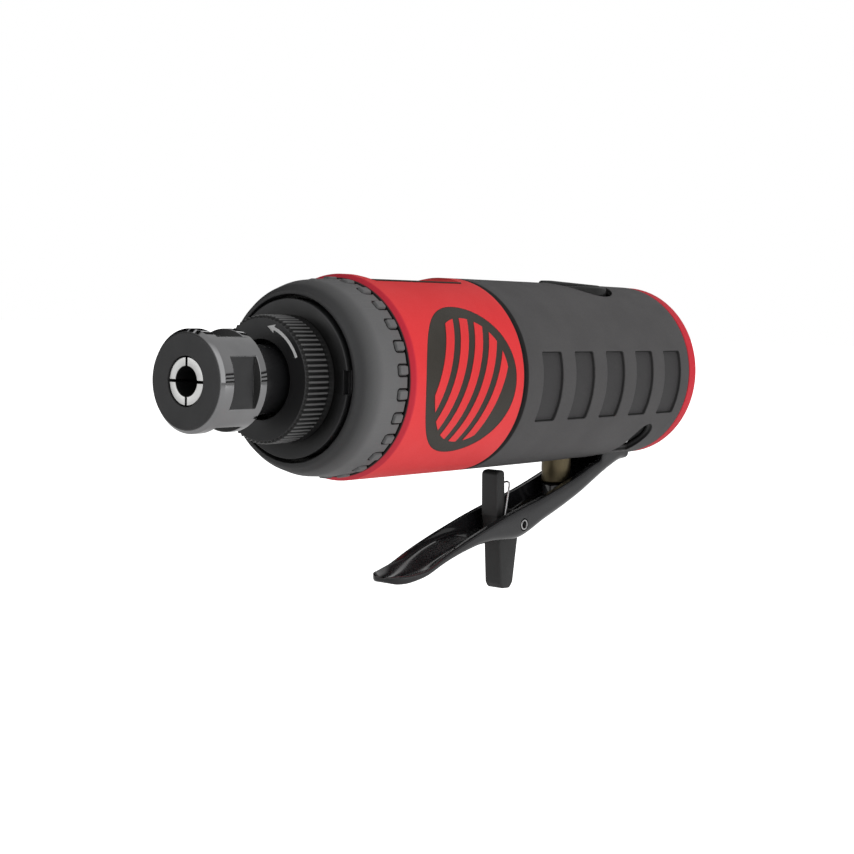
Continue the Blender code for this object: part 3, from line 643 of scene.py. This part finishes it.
def collet_nut():
    back, radius = span("collet_nut")[1].x, span("collet_nut")[1].z
    lip, thread, flat, pocket = 5.3, 7.8, 9.36, (3.5, 11.2)
    outline = filleted([
        (0, lip, 0.12), (0, radius - 1.02, 0.2), (1.1, radius, 0.25), (back, radius, 0.35),
        (back, thread, 0.2), (4.2, thread), (3.4, 6.6), (1.5, lip),
    ])

    def flat_cutter():
        """Everything outside the flat, ending in a wall that leans back towards the rim."""
        outside = [
            (pocket[0], 0), (pocket[0], radius + 3), (pocket[1] + 1.5, radius + 3), (pocket[1], radius),
            (pocket[1] - 0.8, flat - 0.1), (pocket[1] - 0.8, 0),
        ]
        slab = box((pocket[0] - 1, -8, flat), (pocket[1] + 3, 8, radius + 2))
        return worked(slab, ("INTERSECT", lathe(outside, 192)))

    pockets = around(4, flat_cutter)
    stand_in("collet_nut", cut(lathe(outline, 256), pockets), "nut_unit", material="nut_steel")


def collet():
    bore = 3.175
    front, back = ends("collet")
    outline = filleted([
        (front, bore, 0.12), (front, 5.0, 0.1), (1.7, 5.0), (2.9, 5.95, 0.2), (3.3, 5.95, 0.2),
        (back, 4.7, 0.1), (back, bore),
    ])
    slots = around(4, lambda: box((front - 1, -0.3, 2), (12.0, 0.3, 8)))
    stand_in("collet", cut(lathe(outline, 128), slots), "collet_unit")


def collet_body():
    front, back = ends("collet_body")
    thread, collar = 7.4, 7.6
    outline = [(front, 6.2), (front, thread - 0.4), (front + 0.4, thread)]
    for index in range(12):
        start = front + 0.6 + 0.7 * index
        outline += [(start, thread), (start + 0.35, thread - 0.35), (start + 0.65, thread)]
    outline += [(14.0, thread), (14.0, collar, 0.15), (back, collar, 0.2), (back, 4.3)]
    outline = filleted(outline + [(17.9, 4.3), (17.9, 3.4), (16.6, 3.4), (16.6, 5.05)])
    flats = around(2, lambda: box((14.6, -6, 7.0), (20.6, 6, 9)))
    stand_in("collet_body", cut(lathe(outline, 128), flats), "spindle")


def knurled(x, radius, angle):
    """Ribs of the clamp ring's grip, fading in from its face."""
    ribs, depth, low, high = 72, 0.46, 22.0, 30.2
    if not (low <= x <= high) or radius < 13.2:
        return radius
    wave = 0.5 - 0.5 * math.cos(math.radians(angle * ribs))
    run_out = smooth(x, 28.3, 29.0)
    fade = min(1.0, (x - low) / 0.5 + 0.35)
    return radius - depth * (fade * wave ** 0.7 * (1 - run_out) + run_out)


def clamp_ring():
    front, back = ends("clamp_ring")
    flange = span("clamp_ring")[1].z
    bore, knurl, skirt, seat = 8.6, 14.04, 17.3, 14.3
    outline = filleted([
        (front, bore, 0.3), (front, 13.25, 0.1), (22.3, 13.7),
        *[(x, knurl) for x in (22.6, 24.0, 26.0, 28.3, 28.5, 28.65, 28.8, 29.0, 30.2)],
        (30.4, knurl - 0.3), (30.4, flange, 0.22),
        (31.7, flange, 0.2), (31.7, skirt), (back, skirt), (back, seat), (32.6, seat), (32.6, 11.0),
        (26.0, 11.0), (26.0, bore),
    ])
    notch = box((30.0, -18.2, -2.6), (32.2, -16.4, 2.6))
    stand_in("clamp_ring", cut(lathe(outline, 576, knurled), notch))


def rotation_arrow():
    """A plain printed arrow on the ring's face that shows which way the spindle turns."""
    face = span("clamp_ring")[0].x
    middle, half, barb, tail, neck, tip, steps = 11.7, 0.36, 0.95, 64.0, 19.0, 9.0, 24
    sweep = [tail + (neck - tail) * k / steps for k in range(steps + 1)]
    head = [(middle - barb, neck + 0.5), (middle, tip), (middle + barb, neck + 0.5)]
    points = [(middle - half, a) for a in sweep] + head + [(middle + half, a) for a in reversed(sweep)]
    bm = bmesh.new()
    rows = [[bm.verts.new(at(x, r, a)) for r, a in points] for x in (face - 0.05, face + 0.05)]
    for row in rows:
        bm.faces.new(row)
    bridge(bm, rows[0], rows[1])
    put("rotation_arrow", bm, "grinder_body", slot="clamp_ring", material="print")


# Nose cap and grips


def rect_distance(u, v, half_u, half_v, corner):
    """Signed distance to a rounded rectangle, negative inside."""
    du, dv = abs(u) - half_u + corner, abs(v) - half_v + corner
    return math.hypot(max(du, 0), max(dv, 0)) + min(max(du, dv), 0) - corner


def smooth(value, low, high):
    t = min(1.0, max(0.0, (value - low) / (high - low)))
    return t * t * (3 - 2 * t)


def nose_cap():
    """The front bumper, with a row of raised tabs round its rear edge."""
    tabs, tab_x, half_long, half_wide, height = 26, 43.45, 1.35, 1.05, 0.45
    pitch = 360 / tabs
    front, back = ends("nose_cap")
    outside, bore = 22.2, 19.9

    def raised(x, radius, angle):
        if x < TABS_FROM or radius < 21.0:
            return radius
        off = (angle + pitch / 2) % pitch - pitch / 2
        gone = rect_distance(x - tab_x, math.radians(off) * outside, half_long, half_wide, 0.45)
        groove = 0.34 * (1 - smooth(abs(gone - 0.24), 0.0, 0.30))
        return radius + height * (1 - smooth(gone, -0.18, 0.08)) - groove

    outline = filleted([
        (front, 18.4, 0.25), (front + 0.05, 19.5, 0.9), (33.0, 20.75, 3.0), (36.2, 21.8, 5.0),
        (TABS_FROM, outside - 0.02),
    ], 7)
    outline += [(TABS_FROM + 0.15 * k, outside) for k in range(1, 22)]
    outline += [(back - 0.08, 21.9), (back, 21.7), (back, bore), (33.6, bore), (33.6, 18.4)]
    edge = math.degrees(half_wide / outside)
    marks = [pitch * k + side * edge for k in range(-1, tabs + 1) for side in (-1, 1)]
    angles = refined(0, 360, 3.0, marks, 1.2, 0.24)[:-1]
    stand_in("nose_cap", lathe(outline, angles, raised))


BADGE_X, BADGE_HALF_X, BADGE_HALF_ARC = 66.5, 16.6, 18.4


def on_body(x, arc_length, radius, facing):
    """A point at an arc length round the body from the angle facing."""
    return at(x, radius, facing + math.degrees(arc_length / BODY_RADIUS))


def sheet(grid, low, high, facing, loops=False):
    """A curved slab over rows of (x, arc length), which may be closed loops round a filled first one."""
    bm = bmesh.new()
    rims = []
    for radius in (low, high):
        layer = [[bm.verts.new(on_body(x, s, radius, facing)) for x, s in row] for row in grid]
        for a, b in zip(layer, layer[1:]):
            for k in range(len(a) if loops else len(a) - 1):
                bm.faces.new((a[k], a[(k + 1) % len(a)], b[(k + 1) % len(a)], b[k]))
        if loops:
            bm.faces.new(layer[0])
            rims.append(layer[-1])
        else:
            rim = layer[0] + [row[-1] for row in layer[1:]] + layer[-1][-2::-1]
            rims.append(rim + [row[0] for row in layer[-2:0:-1]])
    bridge(bm, *rims)
    return bm


def oval_loops(half_x, half_arc):
    """Loops of (x, arc length) from a small oval out to the badge's edge."""
    core_x, core_arc, rings, sides = 1.0, 1.1, 8, 96
    turns = [2 * math.pi * k / sides for k in range(sides)]
    loops = []
    for k in range(rings + 1):
        size_x = core_x + (half_x - core_x) * k / rings
        size_arc = core_arc + (half_arc - core_arc) * k / rings
        loops.append([(BADGE_X + size_x * math.cos(t), size_arc * math.sin(t)) for t in turns])
    return loops


def slanted_bar(offset):
    """A bar across the oval: rows along it, clipped a little inside the oval."""
    half_width, limit_x, limit_arc, slant, steps = 1.35, 13.6, 15.1, math.radians(24), 14
    along = Vector((math.sin(slant), -math.cos(slant)))
    across = Vector((along.y, -along.x))
    rows = []
    for k in range(5):
        base = across * (offset + half_width * (k / 2 - 1))
        a = (along.x / limit_x) ** 2 + (along.y / limit_arc) ** 2
        b = 2 * (base.x * along.x / limit_x ** 2 + base.y * along.y / limit_arc ** 2)
        c = (base.x / limit_x) ** 2 + (base.y / limit_arc) ** 2 - 1
        root = math.sqrt(b * b - 4 * a * c)
        first, last = (-b - root) / (2 * a), (-b + root) / (2 * a)
        row = []
        for step in range(steps + 1):
            point = base + along * (first + (last - first) * step / steps)
            row.append((BADGE_X + point.x, point.y))
        rows.append(row)
    return rows


def badges():
    """A plain emblem on each side: a dark oval with slanted bars across it."""
    low, face, proud = 22.5, 23.37, 23.46
    for side, facing in (("left", 90), ("right", 270)):
        base = sheet(oval_loops(BADGE_HALF_X, BADGE_HALF_ARC), low, face, facing, loops=True)
        stand_in(f"{side}_badge", base)
        mirrored = 1 if facing == 90 else -1
        pieces = []
        for offset in (-9.6, -4.8, 0.0, 4.8, 9.6):
            bar = [[(x, s * mirrored) for x, s in row] for row in slanted_bar(offset)]
            pieces.append(sheet(bar, face - 0.1, proud, facing))
        put(f"{side}_badge_inlay", joined(pieces), "grinder_body", slot="red_grip")


def badge_pocket(facing):
    floor, outside, play = 22.2, 25.0, 0.06
    return sheet(oval_loops(BADGE_HALF_X + play, BADGE_HALF_ARC + play), floor, outside, facing, loops=True)


def front_grip_sleeve():
    front, back = ends("front_grip_sleeve")
    outline = filleted([
        (front, SLEEVE_BORE), (front, 22.35, 0.25), (front + 1.1, BODY_RADIUS, 0.5),
        *[(front + 2 + 2.5 * k, BODY_RADIUS) for k in range(16)], (back - 0.95, BODY_RADIUS, 0.3),
        (back - 0.1, BODY_RADIUS - 0.6), (back, BODY_RADIUS - 0.9), (back, SLEEVE_BORE),
    ])
    label = plate(filleted([(49, 22, 1), (82, 22, 1), (82, 26, 1), (49, 26, 1)], 1), -8, 8)
    stand_in("front_grip_sleeve", cut(lathe(outline, 240), label, badge_pocket(90), badge_pocket(270)))


def rating_plate():
    """A blank label insert with a raised border."""
    low, high = span("rating_plate")
    bm = bmesh.new()

    def loop(inset, corner, z):
        x0, y0, x1, y1 = low.x + inset, low.y + inset, high.x - inset, high.y - inset
        outline = filleted([(x0, y0, corner), (x1, y0, corner), (x1, y1, corner), (x0, y1, corner)], 5)
        return [bm.verts.new((x, y, z)) for x, y in outline]

    foot, border, sunk = 22.02, 1.1, 0.15
    rows = [
        loop(0.0, 1.0, foot), loop(0.0, 1.0, high.z - 0.1), loop(0.1, 0.9, high.z),
        loop(border, 0.8, high.z), loop(border + sunk, 0.7, high.z - sunk),
    ]
    for lower, upper in zip(rows, rows[1:]):
        bridge(bm, lower, upper)
    bm.faces.new(rows[0])
    bm.faces.new(rows[-1])
    stand_in("rating_plate", bm)


def tapered(x):
    """Outer radius of the rear grip, which narrows towards the tail."""
    stations = [(TAPER_START, BODY_RADIUS), (120.0, 23.25), (163.0, 22.8)]
    for (x0, r0), (x1, r1) in zip(stations, stations[1:]):
        if x <= x1:
            return r0 + (r1 - r0) * (x - x0) / (x1 - x0)
    return stations[-1][1]


POCKET_FIRST, POCKET_PITCH, POCKET_WIDTH, POCKET_COUNT, POCKET_DEPTH = 94.2, 13.8, 8.3, 5, 0.95
POCKET_ANGLES = ((74, 117), (243, 286))


def pocketed(x, radius, angle):
    """The finger pockets of the rear grip."""
    if radius < 22.0:
        return radius
    middle = x - POCKET_FIRST - POCKET_WIDTH / 2
    off_x = middle - min(POCKET_COUNT - 1, max(0, round(middle / POCKET_PITCH))) * POCKET_PITCH
    deepest = 0.0
    for low, high in POCKET_ANGLES:
        off, half = (math.radians(turn) * 23.0 for turn in (angle - (low + high) / 2, (high - low) / 2))
        inside = rect_distance(off_x, off, POCKET_WIDTH / 2, half, 0.7)
        deepest = max(deepest, POCKET_DEPTH * (1 - smooth(inside, -0.20, 0.06)))
    return radius - deepest


def rear_grip_sleeve():
    front, back = ends("rear_grip_sleeve")
    starts = [POCKET_FIRST + POCKET_PITCH * k for k in range(POCKET_COUNT)]
    walls = [start + side for start in starts for side in (0, POCKET_WIDTH)]
    outline = [(front, SLEEVE_BORE), (front, 22.5)]
    outline += [(front + 0.25, 22.8), (front + 0.5, 23.08), (front + 0.75, 23.3)]
    outline += [(x, tapered(x)) for x in refined(front + 1.1, back - 0.6, 2.4, walls, 0.9, 0.13)]
    for before, fall in ((0.3, 0.04), (0.08, 0.15), (0.0, 0.35)):
        outline.append((back - before, tapered(back) - fall))
    outline.append((back, SLEEVE_BORE))
    angles = refined(0, 360, 2.2, [edge for pair in POCKET_ANGLES for edge in pair], 2.4, 0.32)[:-1]
    stand_in("rear_grip_sleeve", cut(lathe(outline, angles, pocketed), *sleeve_openings()), sharp=40)


def sleeve_openings():
    """Cutters for the regulator, the throttle plunger, the lever and its pin."""
    below, side = -30, 26  # well clear of the body
    pin = centre("lever_pivot_pin")
    floor = span("regulator_knob")[1].z - 4.3
    dished = filleted([(floor, 0), (floor, 11.4, 0.5), (21.6, 11.4, 0.4), (30, 13.5), (30, 0)])
    lever_slot = filleted([(142.6, below), (159.5, below), (159.5, -12.8, 1.0), (142.6, -12.8, 1.0)])
    relief = [(107.3, below), (124.0, below), (124.0, -15), (107.3, -15)]
    recess = arc((pin.x, pin.z), 4.0, 0, 180, 24) + [(pin.x - 4.0, below), (pin.x + 4.0, below)]
    return [
        stood(lathe(dished, 96), KNOB_X), stood(rod(below, 0, 5.6), centre("throttle_plunger").x),
        plate(lever_slot, -6.9, 6.9), plate(relief, -3.0, 3.0),
        plate(recess, -side, -9), plate(recess, 9, side),
    ]


def rear_cap():
    front, back = ends("rear_cap")
    radius = span("rear_cap")[1].z
    hole, inner, rim_x = 10.5, 21.0, 162.4
    outline = filleted([
        (front, hole), (front, inner, 0.2), (rim_x, inner), (rim_x, radius, 0.3), (back - 0.9, radius, 0.8),
        (back, radius - 1.1, 0.5), (back, hole + 0.2, 0.3),
    ])
    window = [(-1.3, 14.2, 1.0), (1.3, 14.2, 1.0), (1.3, 18.6, 1.0), (-1.3, 18.6, 1.0)]

    def vent():
        bm = plate(filleted(window, 5), 160, 167)
        bm.transform(Matrix.Rotation(math.radians(-90), 4, "Z"))
        return bm

    groove = lathe([(back - 0.35, 19.6), (back - 0.35, 20.1), (back + 1, 20.1), (back + 1, 19.6)], 240)
    stand_in("rear_cap", cut(lathe(outline, 240), around(12, vent, 15), groove))


def air_inlet():
    """The hexagonal inlet bushing, chamfered, with thread turns in its bore."""
    front, back = ends("air_inlet_bushing")
    flat, hex_front = 11.0, span("rear_cap")[1].x + 0.3
    corner = flat / math.cos(math.radians(30))
    hexagon = lathe([(hex_front, 0), (hex_front, corner), (back, corner), (back, 0)], even(6))
    domed = filleted([
        (hex_front, 0), (hex_front, corner - 0.7, 0.4), (hex_front + 0.9, corner + 0.4),
        (back - 0.9, corner + 0.4), (back, corner - 1.5, 0.4), (back, 0),
    ])
    shank = filleted([
        (front, 0), (front, 8.5, 0.4), (160.0, 8.5), (160.0, 10.2, 0.3), (hex_front + 1, 10.2),
        (hex_front + 1, 0),
    ])
    bore = [(front - 1, 0), (front - 1, 4.4), (156.0, 4.4), (156.0, 5.6)]
    for k in range(11):
        start = 157.0 + 1.4 * k
        bore += [(start, 5.6), (start + 0.7, 6.1), (start + 1.3, 5.6)]
    bore += [(back - 0.9, 5.6), (back + 0.2, 6.9), (back + 1, 6.9), (back + 1, 0)]
    steps = [("INTERSECT", lathe(domed, 192)), ("UNION", lathe(shank, 128)), ("DIFFERENCE", lathe(bore, 96))]
    stand_in("air_inlet_bushing", worked(hexagon, *steps))


# Regulator, plunger, pins


def regulator_knob():
    """A sealed stem, a disc, and a bar that slopes down towards its nose."""
    low, top = (corner.z for corner in span("regulator_knob"))
    disc, stem, seal = 9.8, 3.2, 2.2
    outline = filleted([
        (low, 0), (low, 2.6, 0.2), (8.6, stem, 0.2), (12.1, stem), (12.1, seal), (14.3, seal), (14.3, stem),
        (15.6, stem), (15.6, seal), (17.4, seal), (17.4, stem), (19.9, stem), (19.9, disc, 0.3),
        (22.6, disc, 0.7), (22.6, 0),
    ])
    knob = stood(lathe(outline, 160), KNOB_X)
    nose, tail, half, foot, swing = 10.4, -9.2, 2.4, 22.4, -21
    bar = arc((nose - half, 0), half, -90, 90, 20) + arc((tail + half, 0), half, 90, 270, 20)
    grip = plate(bar, 22.0, top, 0.9, 6)
    for vert in grip.verts:
        if vert.co.y > foot:
            vert.co.y -= 0.011 * max(0, vert.co.x + 1.0) ** 2 * (vert.co.y - foot) / (top - foot)
    turned = Matrix.Rotation(math.radians(swing), 4, "Z") @ Matrix.Rotation(math.radians(90), 4, "X")
    grip.transform(Matrix.Translation((KNOB_X, 0, 0)) @ turned)
    stand_in("regulator_knob", worked(knob, ("UNION", grip)), "regulator_unit", sharp=50)


def throttle_plunger():
    low, high = span("throttle_plunger")
    radius = (high.x - low.x) / 2
    stem = filleted([
        (low.z, 0), (low.z, radius - 0.1, 0.5), (low.z + 3.0, radius - 0.1), (low.z + 3.2, radius),
        (-15.0, radius, 0.3), (-15.0, 1.5), (high.z, 1.5, 0.2), (high.z, 0),
    ])
    stand_in("throttle_plunger", stood(lathe(stem, 96), centre("throttle_plunger").x), "valve_unit")


def pins():
    middle, half = centre("lever_pivot_pin"), span("lever_pivot_pin")[1].y
    outline = filleted([(-half, 0), (-half, 1.5, 0.35), (half, 1.5, 0.35), (half, 0)])
    stand_in("lever_pivot_pin", crosswise(lathe(outline, 64), middle))
    middle, (low, high) = centre("lock_off_pin"), span("lock_off_pin")
    half, radius = high.y, (high.z - low.z) / 2
    inner = radius - 0.42
    section = [(-half, inner, 0.08), (-half, radius, 0.12), (half, radius, 0.12), (half, inner, 0.08)]
    stand_in("lock_off_pin", crosswise(lathe(filleted(section), 64), middle), "lever_unit")


# Throttle lever and lock-off


LEVER_STATIONS = [  # x, top of the walls, underside, half width
    (63.9, -47.5, -48.3, 1.2), (64.0, -47.3, -48.5, 2.1), (64.5, -47.1, -48.8, 3.2),
    (65.6, -46.9, -49.0, 4.3), (67.4, -46.9, -48.9, 5.2), (70.0, -46.6, -48.4, 5.9),
    (73.3, -46.0, -47.5, 6.4), (76.0, -45.0, -46.5, 6.5), (79.0, -43.7, -45.4, 6.5),
    (83.0, -42.2, -44.2, 6.5), (89.5, -40.0, -42.7, 6.5), (95.0, -38.3, -41.9, 6.5),
    (101.0, -36.5, -41.8, 6.5), (108.4, -34.5, -41.9, 6.5), (122.0, -31.2, -37.7, 6.5),
    (136.0, -26.9, -32.6, 6.5), (142.4, -24.5, -29.7, 6.5), (145.4, -23.4, -28.3, 6.5),
    (146.7, -16.6, -27.7, 6.5), (147.7, -14.5, -27.3, 6.5), (149.5, -13.75, -26.5, 6.5),
    (151.4, -14.4, -25.8, 6.5), (152.9, -16.4, -25.2, 6.5), (156.0, -19.2, -24.2, 6.5),
    (158.6, -20.6, -23.7, 6.5),
]


def through(stations, x):
    """Smooth values between stations, with no overshoot."""
    index = max(0, min(len(stations) - 2, sum(1 for row in stations if row[0] <= x) - 1))
    before, low, high, after = (stations[max(0, min(len(stations) - 1, index + k))] for k in (-1, 0, 1, 2))
    step = high[0] - low[0]
    t = (x - low[0]) / step
    values = []
    for k in range(1, len(low)):
        slope = (high[k] - low[k]) / step
        back = (low[k] - before[k]) / max(low[0] - before[0], 1e-6) if low is not before else slope
        ahead = (after[k] - high[k]) / max(after[0] - high[0], 1e-6) if high is not after else slope
        start = 0.0 if back * slope <= 0 else 2 * back * slope / (back + slope)
        end = 0.0 if ahead * slope <= 0 else 2 * ahead * slope / (ahead + slope)
        a, b = step * start, step * end
        rise = high[k] - low[k]
        values.append(low[k] + a * t + (3 * rise - 2 * a - b) * t * t + (a + b - 2 * rise) * t ** 3)
    return values


def lever_section(x):
    """The cross-section of the lever as (y, z) points: a dished paddle that turns into a channel."""
    top, bottom, half = through(LEVER_STATIONS, x)
    channel = smooth(x, 72.0, 92.0)
    wall = min(0.7 + 0.85 * channel, half / 3)
    floor = min(bottom + 0.8 + 0.8 * channel, top - 0.1)
    outer = min(2.3, 0.45 * half, 0.55 * (top - bottom))
    rim = min(0.45, wall * 0.45)
    power = 2.0 + 10.0 * channel
    reach = half - wall
    across = [math.cos(math.pi * k / 28) for k in range(1, 28)]
    dish = [(reach * share, floor + (top - floor) * abs(share) ** power) for share in across]
    return filleted([
        (-half, top, rim), (-half, bottom, outer), (half, bottom, outer), (half, top, rim), (reach, top),
        *dish, (-reach, top),
    ], 6)


def throttle_lever():
    marks = [64.0, 65.5, 145.8, 147.0, 152.0]
    stations = refined(LEVER_STATIONS[0][0], LEVER_STATIONS[-1][0], 1.2, marks, 1.8, 0.2)
    bm = bmesh.new()
    rows = [[bm.verts.new((x, y, z)) for y, z in lever_section(x)] for x in stations]
    for low, high in zip(rows, rows[1:]):
        bridge(bm, low, high)
    bm.faces.new(rows[0])
    bm.faces.new(rows[-1])
    boss = lathe(filleted([(-32.8, 0), (-32.8, 3.2), (-29.6, 3.2, 0.5), (-29.6, 0)]), 64)
    stood(boss, centre("throttle_plunger").x - 0.6)
    openings = [
        box((94.0, -2.95, -46), (116.0, 2.95, -34)), box((108.2, -4.75, -46), (114.4, 0, -34)),
        crosswise(rod(-CUT_PAST, CUT_PAST, 1.8), centre("lever_pivot_pin")),
        crosswise(rod(-CUT_PAST, CUT_PAST, PIN_HOLE), centre("lock_off_pin")),
    ]
    lever = worked(bm, ("UNION", boss), *[("DIFFERENCE", opening) for opening in openings])
    stand_in("throttle_lever", lever, "lever_unit", sharp=46)


def lock_off_lever():
    low, high = span("lock_off_lever")
    pin = centre("lock_off_pin")
    outline = filleted([
        (104.45, -24.6, 1.2), (107.75, high.z, 1.1), (108.3, -33.6), *arc((pin.x, pin.z), 3.5, 95, -20, 14),
        (114.1, -42.8, 1.5), (112.6, -53.4, 1.5), (111.4, low.z, 1.2), (108.3, low.z + 0.1, 1.2),
        (107.3, -53.4, 1.2), (106.3, -42.0, 2.0), (104.9, -36.0, 2.0),
    ], 6)
    body = plate(outline, low.y, high.y, 0.5, 4)
    hole = crosswise(rod(-CUT_PAST, CUT_PAST, PIN_HOLE), pin)
    stand_in("lock_off_lever", cut(body, hole), "lock_off_unit", sharp=46)


def spring_path():
    """The lock-off's spring: a bent top leg, a coil round the pin and a short bottom leg."""
    pin = centre("lock_off_pin")
    coil, start, end, per_turn, pitch, side = 2.0, 240, 1030, 30, 0.68, -3.1
    path = [(108.7, 1.4, -28.0), (108.75, -1.6, -27.6), (108.8, -2.5, -27.35), (108.95, -3.0, -27.6)]
    legs = [(109.05, -28.2), (108.85, -28.9), (107.5, -36.0), (107.6, -37.4), (108.2, -38.8), (109.1, -39.6)]
    path += [(x, side, z) for x, z in legs]
    count = (end - start) * per_turn // 360
    for index in range(count + 1):
        angle = math.radians(start + (end - start) * index / count)
        y = side - pitch * index / per_turn
        path.append((pin.x + coil * math.cos(angle), y, pin.z + coil * math.sin(angle)))
    path.append((pin.x + 2.6, y, pin.z - 0.4))
    return path


def wire(path, radius):
    """A round wire along a path of points."""
    curve = bpy.data.curves.new("wire", "CURVE")
    curve.dimensions = "3D"
    curve.bevel_depth = radius
    curve.bevel_resolution = 4
    curve.use_fill_caps = True
    spline = curve.splines.new("POLY")
    spline.points.add(len(path) - 1)
    for target, point in zip(spline.points, path):
        target.co = (*point, 1)
    return evaluated(linked("wire", curve))


def lock_off_spring():
    stand_in("lock_off_spring", wire(spring_path(), 0.24), "lock_off_unit", sharp=60)


def throttle_spring():
    """The return spring of the valve; it is drawn at one length and does not shorten as the poppet rises."""
    low, high = span("throttle_spring")
    thickness, coil, turns, per_turn, lift = 0.35, 3.5, 4.5, 28, 3.6
    x = centre("throttle_poppet").x
    count = int(turns * per_turn)
    path = []
    for index in range(count + 1):
        angle = 2 * math.pi * index / per_turn
        height = low.z + thickness + (high.z - low.z - 2 * thickness) * index / count
        path.append((x + coil * math.cos(angle), coil * math.sin(angle), height))
    spring = stand_in("throttle_spring", wire(path, thickness), sharp=60)
    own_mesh(spring)


# Pieces that keep their CAD shape


def dress_cad_nodes():
    """Gives every CAD node the procedural material of its slot."""
    for name, node in frame["nodes"].items():
        node.data.materials.clear()
        node.data.materials.append(MATERIALS[SLOTS[name]])


# Stage, light and camera


def stage():
    floor_drop, reach = 0.07, 6.0
    bm = bmesh.new()
    bmesh.ops.create_grid(bm, x_segments=1, y_segments=1, size=reach)
    floor = linked("floor", meshed("floor", bm))
    floor.location = (0, 0, CAD_LOW.z - floor_drop)
    s = Shader("pale_floor")
    path = s.add("ShaderNodeLightPath").outputs
    glow = s.plus(s.plus(0.1, path["Is Camera Ray"]), s.times(0.25, path["Is Diffuse Ray"]))
    floor.data.materials.append(s.filled({
        "Base Color": (0.88, 0.88, 0.88, 1), "Roughness": 0.9, "Specular IOR Level": 0.0,
        "Emission Color": (1, 1, 1, 1), "Emission Strength": glow,
    }))


def studio():
    """A white backdrop for the camera, even light, and a tent of dark and light panels to reflect."""
    world = bpy.data.worlds.new("studio")
    bpy.context.scene.world = world
    s = Nodes(world)
    path = s.add("ShaderNodeLightPath").outputs
    split = s.add("ShaderNodeSeparateXYZ")
    s.link(s.add("ShaderNodeTexCoord").outputs["Generated"], split.inputs["Vector"])

    def panels(axis, stops):
        """Grey levels along one axis of the looking direction; each stop is (position, level)."""
        ramp = s.add("ShaderNodeValToRGB")
        s.link(s.ranged(split.outputs[axis], -1.0, 1.0), ramp.inputs["Fac"])
        elements = ramp.color_ramp.elements
        while len(elements) < len(stops):
            elements.new(0.5)
        for element, (position, level) in zip(elements, stops):
            element.position = (position + 1) / 2
            element.color = (*grey(level), 1)
        return ramp.outputs["Color"]

    upright = panels("Z", [
        (-1.0, 0.55), (-0.05, 0.55), (-0.03, 0.02), (0.02, 0.02), (0.04, 0.55), (0.07, 0.55), (0.09, 0.02),
        (0.12, 0.02), (0.14, 0.55), (0.17, 0.55), (0.19, 0.02), (0.22, 0.02), (0.26, 0.50), (1.0, 0.55),
    ])
    overhead = panels("Z", [(-1.0, 0.2), (-0.05, 0.2), (0.0, 0.01), (0.16, 0.01), (0.22, 1.0), (1.0, 1.0)])
    strips = panels("Y", [
        (-1.0, 1.0), (0.53, 1.0), (0.55, 0.0), (0.58, 0.0), (0.60, 1.0), (0.70, 1.0), (0.72, 0.3),
        (0.74, 1.0),
    ])
    far_side = panels("Y", [(-1.0, 0.0), (0.38, 0.0), (0.44, 1.0), (1.0, 1.0)])
    front = panels("X", [(-1.0, 1.0), (-0.55, 1.0), (-0.40, 0.0), (1.0, 0.0)])
    behind = s.mixed(strips, overhead, grey(0.01))
    reflected = s.mixed(front, s.mixed(far_side, upright, behind), grey(1.1))
    lit = s.mixed(path["Is Diffuse Ray"], reflected, grey(0.30))
    seen = s.mixed(path["Is Camera Ray"], lit, grey(1.0))
    s.link(seen, s.nodes["Background"].inputs["Color"])


def away(azimuth, elevation):
    """The unit vector towards a direction in degrees."""
    a, e = math.radians(azimuth), math.radians(elevation)
    return Vector((math.sin(a) * math.cos(e), -math.cos(a) * math.cos(e), math.sin(e)))


def area_light(name, azimuth, elevation, size, power):
    """A square soft light that looks at the object and isn't mirrored in it."""
    back, distance = away(azimuth, elevation), 1.2
    light = bpy.data.lights.new(name, "AREA")
    light.shape = "SQUARE"
    light.size = size
    light.energy = power
    lamp = linked(name, light)
    lamp.location = back * distance
    lamp.rotation_mode = "QUATERNION"
    lamp.rotation_quaternion = back.to_track_quat("Z", "Y")
    lamp.visible_glossy = False


def camera():
    """Stands in front of the nose, to its right, level with the spindle."""
    aim_x, distance, lens, roll = 124.7, 0.46, 74.31, math.radians(1.535)
    stands, looks = (-54.4, 2.275), (-50.81, 4.157)  # azimuth and elevation
    data = bpy.data.cameras.new("camera")
    data.sensor_width = 36
    data.lens = lens
    data.clip_start = 0.01
    made = linked("camera", data)
    back = away(*looks)
    right = away(looks[0] + 90, 0)
    up = back.cross(right)
    rolled_right = right * math.cos(roll) + up * math.sin(roll)
    rolled_up = up * math.cos(roll) - right * math.sin(roll)
    turn = Matrix((rolled_right, rolled_up, back)).transposed().to_4x4()
    place = NOSE + Vector((aim_x * MM, 0, 0)) + away(*stands) * distance
    made.matrix_world = Matrix.Translation(place) @ turn
    bpy.context.scene.camera = made


def main():
    dress_cad_nodes()
    collet_nut()
    collet()
    collet_body()
    clamp_ring()
    rotation_arrow()
    nose_cap()
    front_grip_sleeve()
    badges()
    rating_plate()
    rear_grip_sleeve()
    rear_cap()
    air_inlet()
    regulator_knob()
    throttle_plunger()
    pins()
    throttle_lever()
    lock_off_lever()
    lock_off_spring()
    throttle_spring()
    stage()
    studio()
    area_light("key", 8, 12, 0.7, 7.4)
    area_light("top", -20, 68, 0.8, 2.6)
    bpy.context.scene.view_settings.view_transform = "Standard"
    camera()


main()
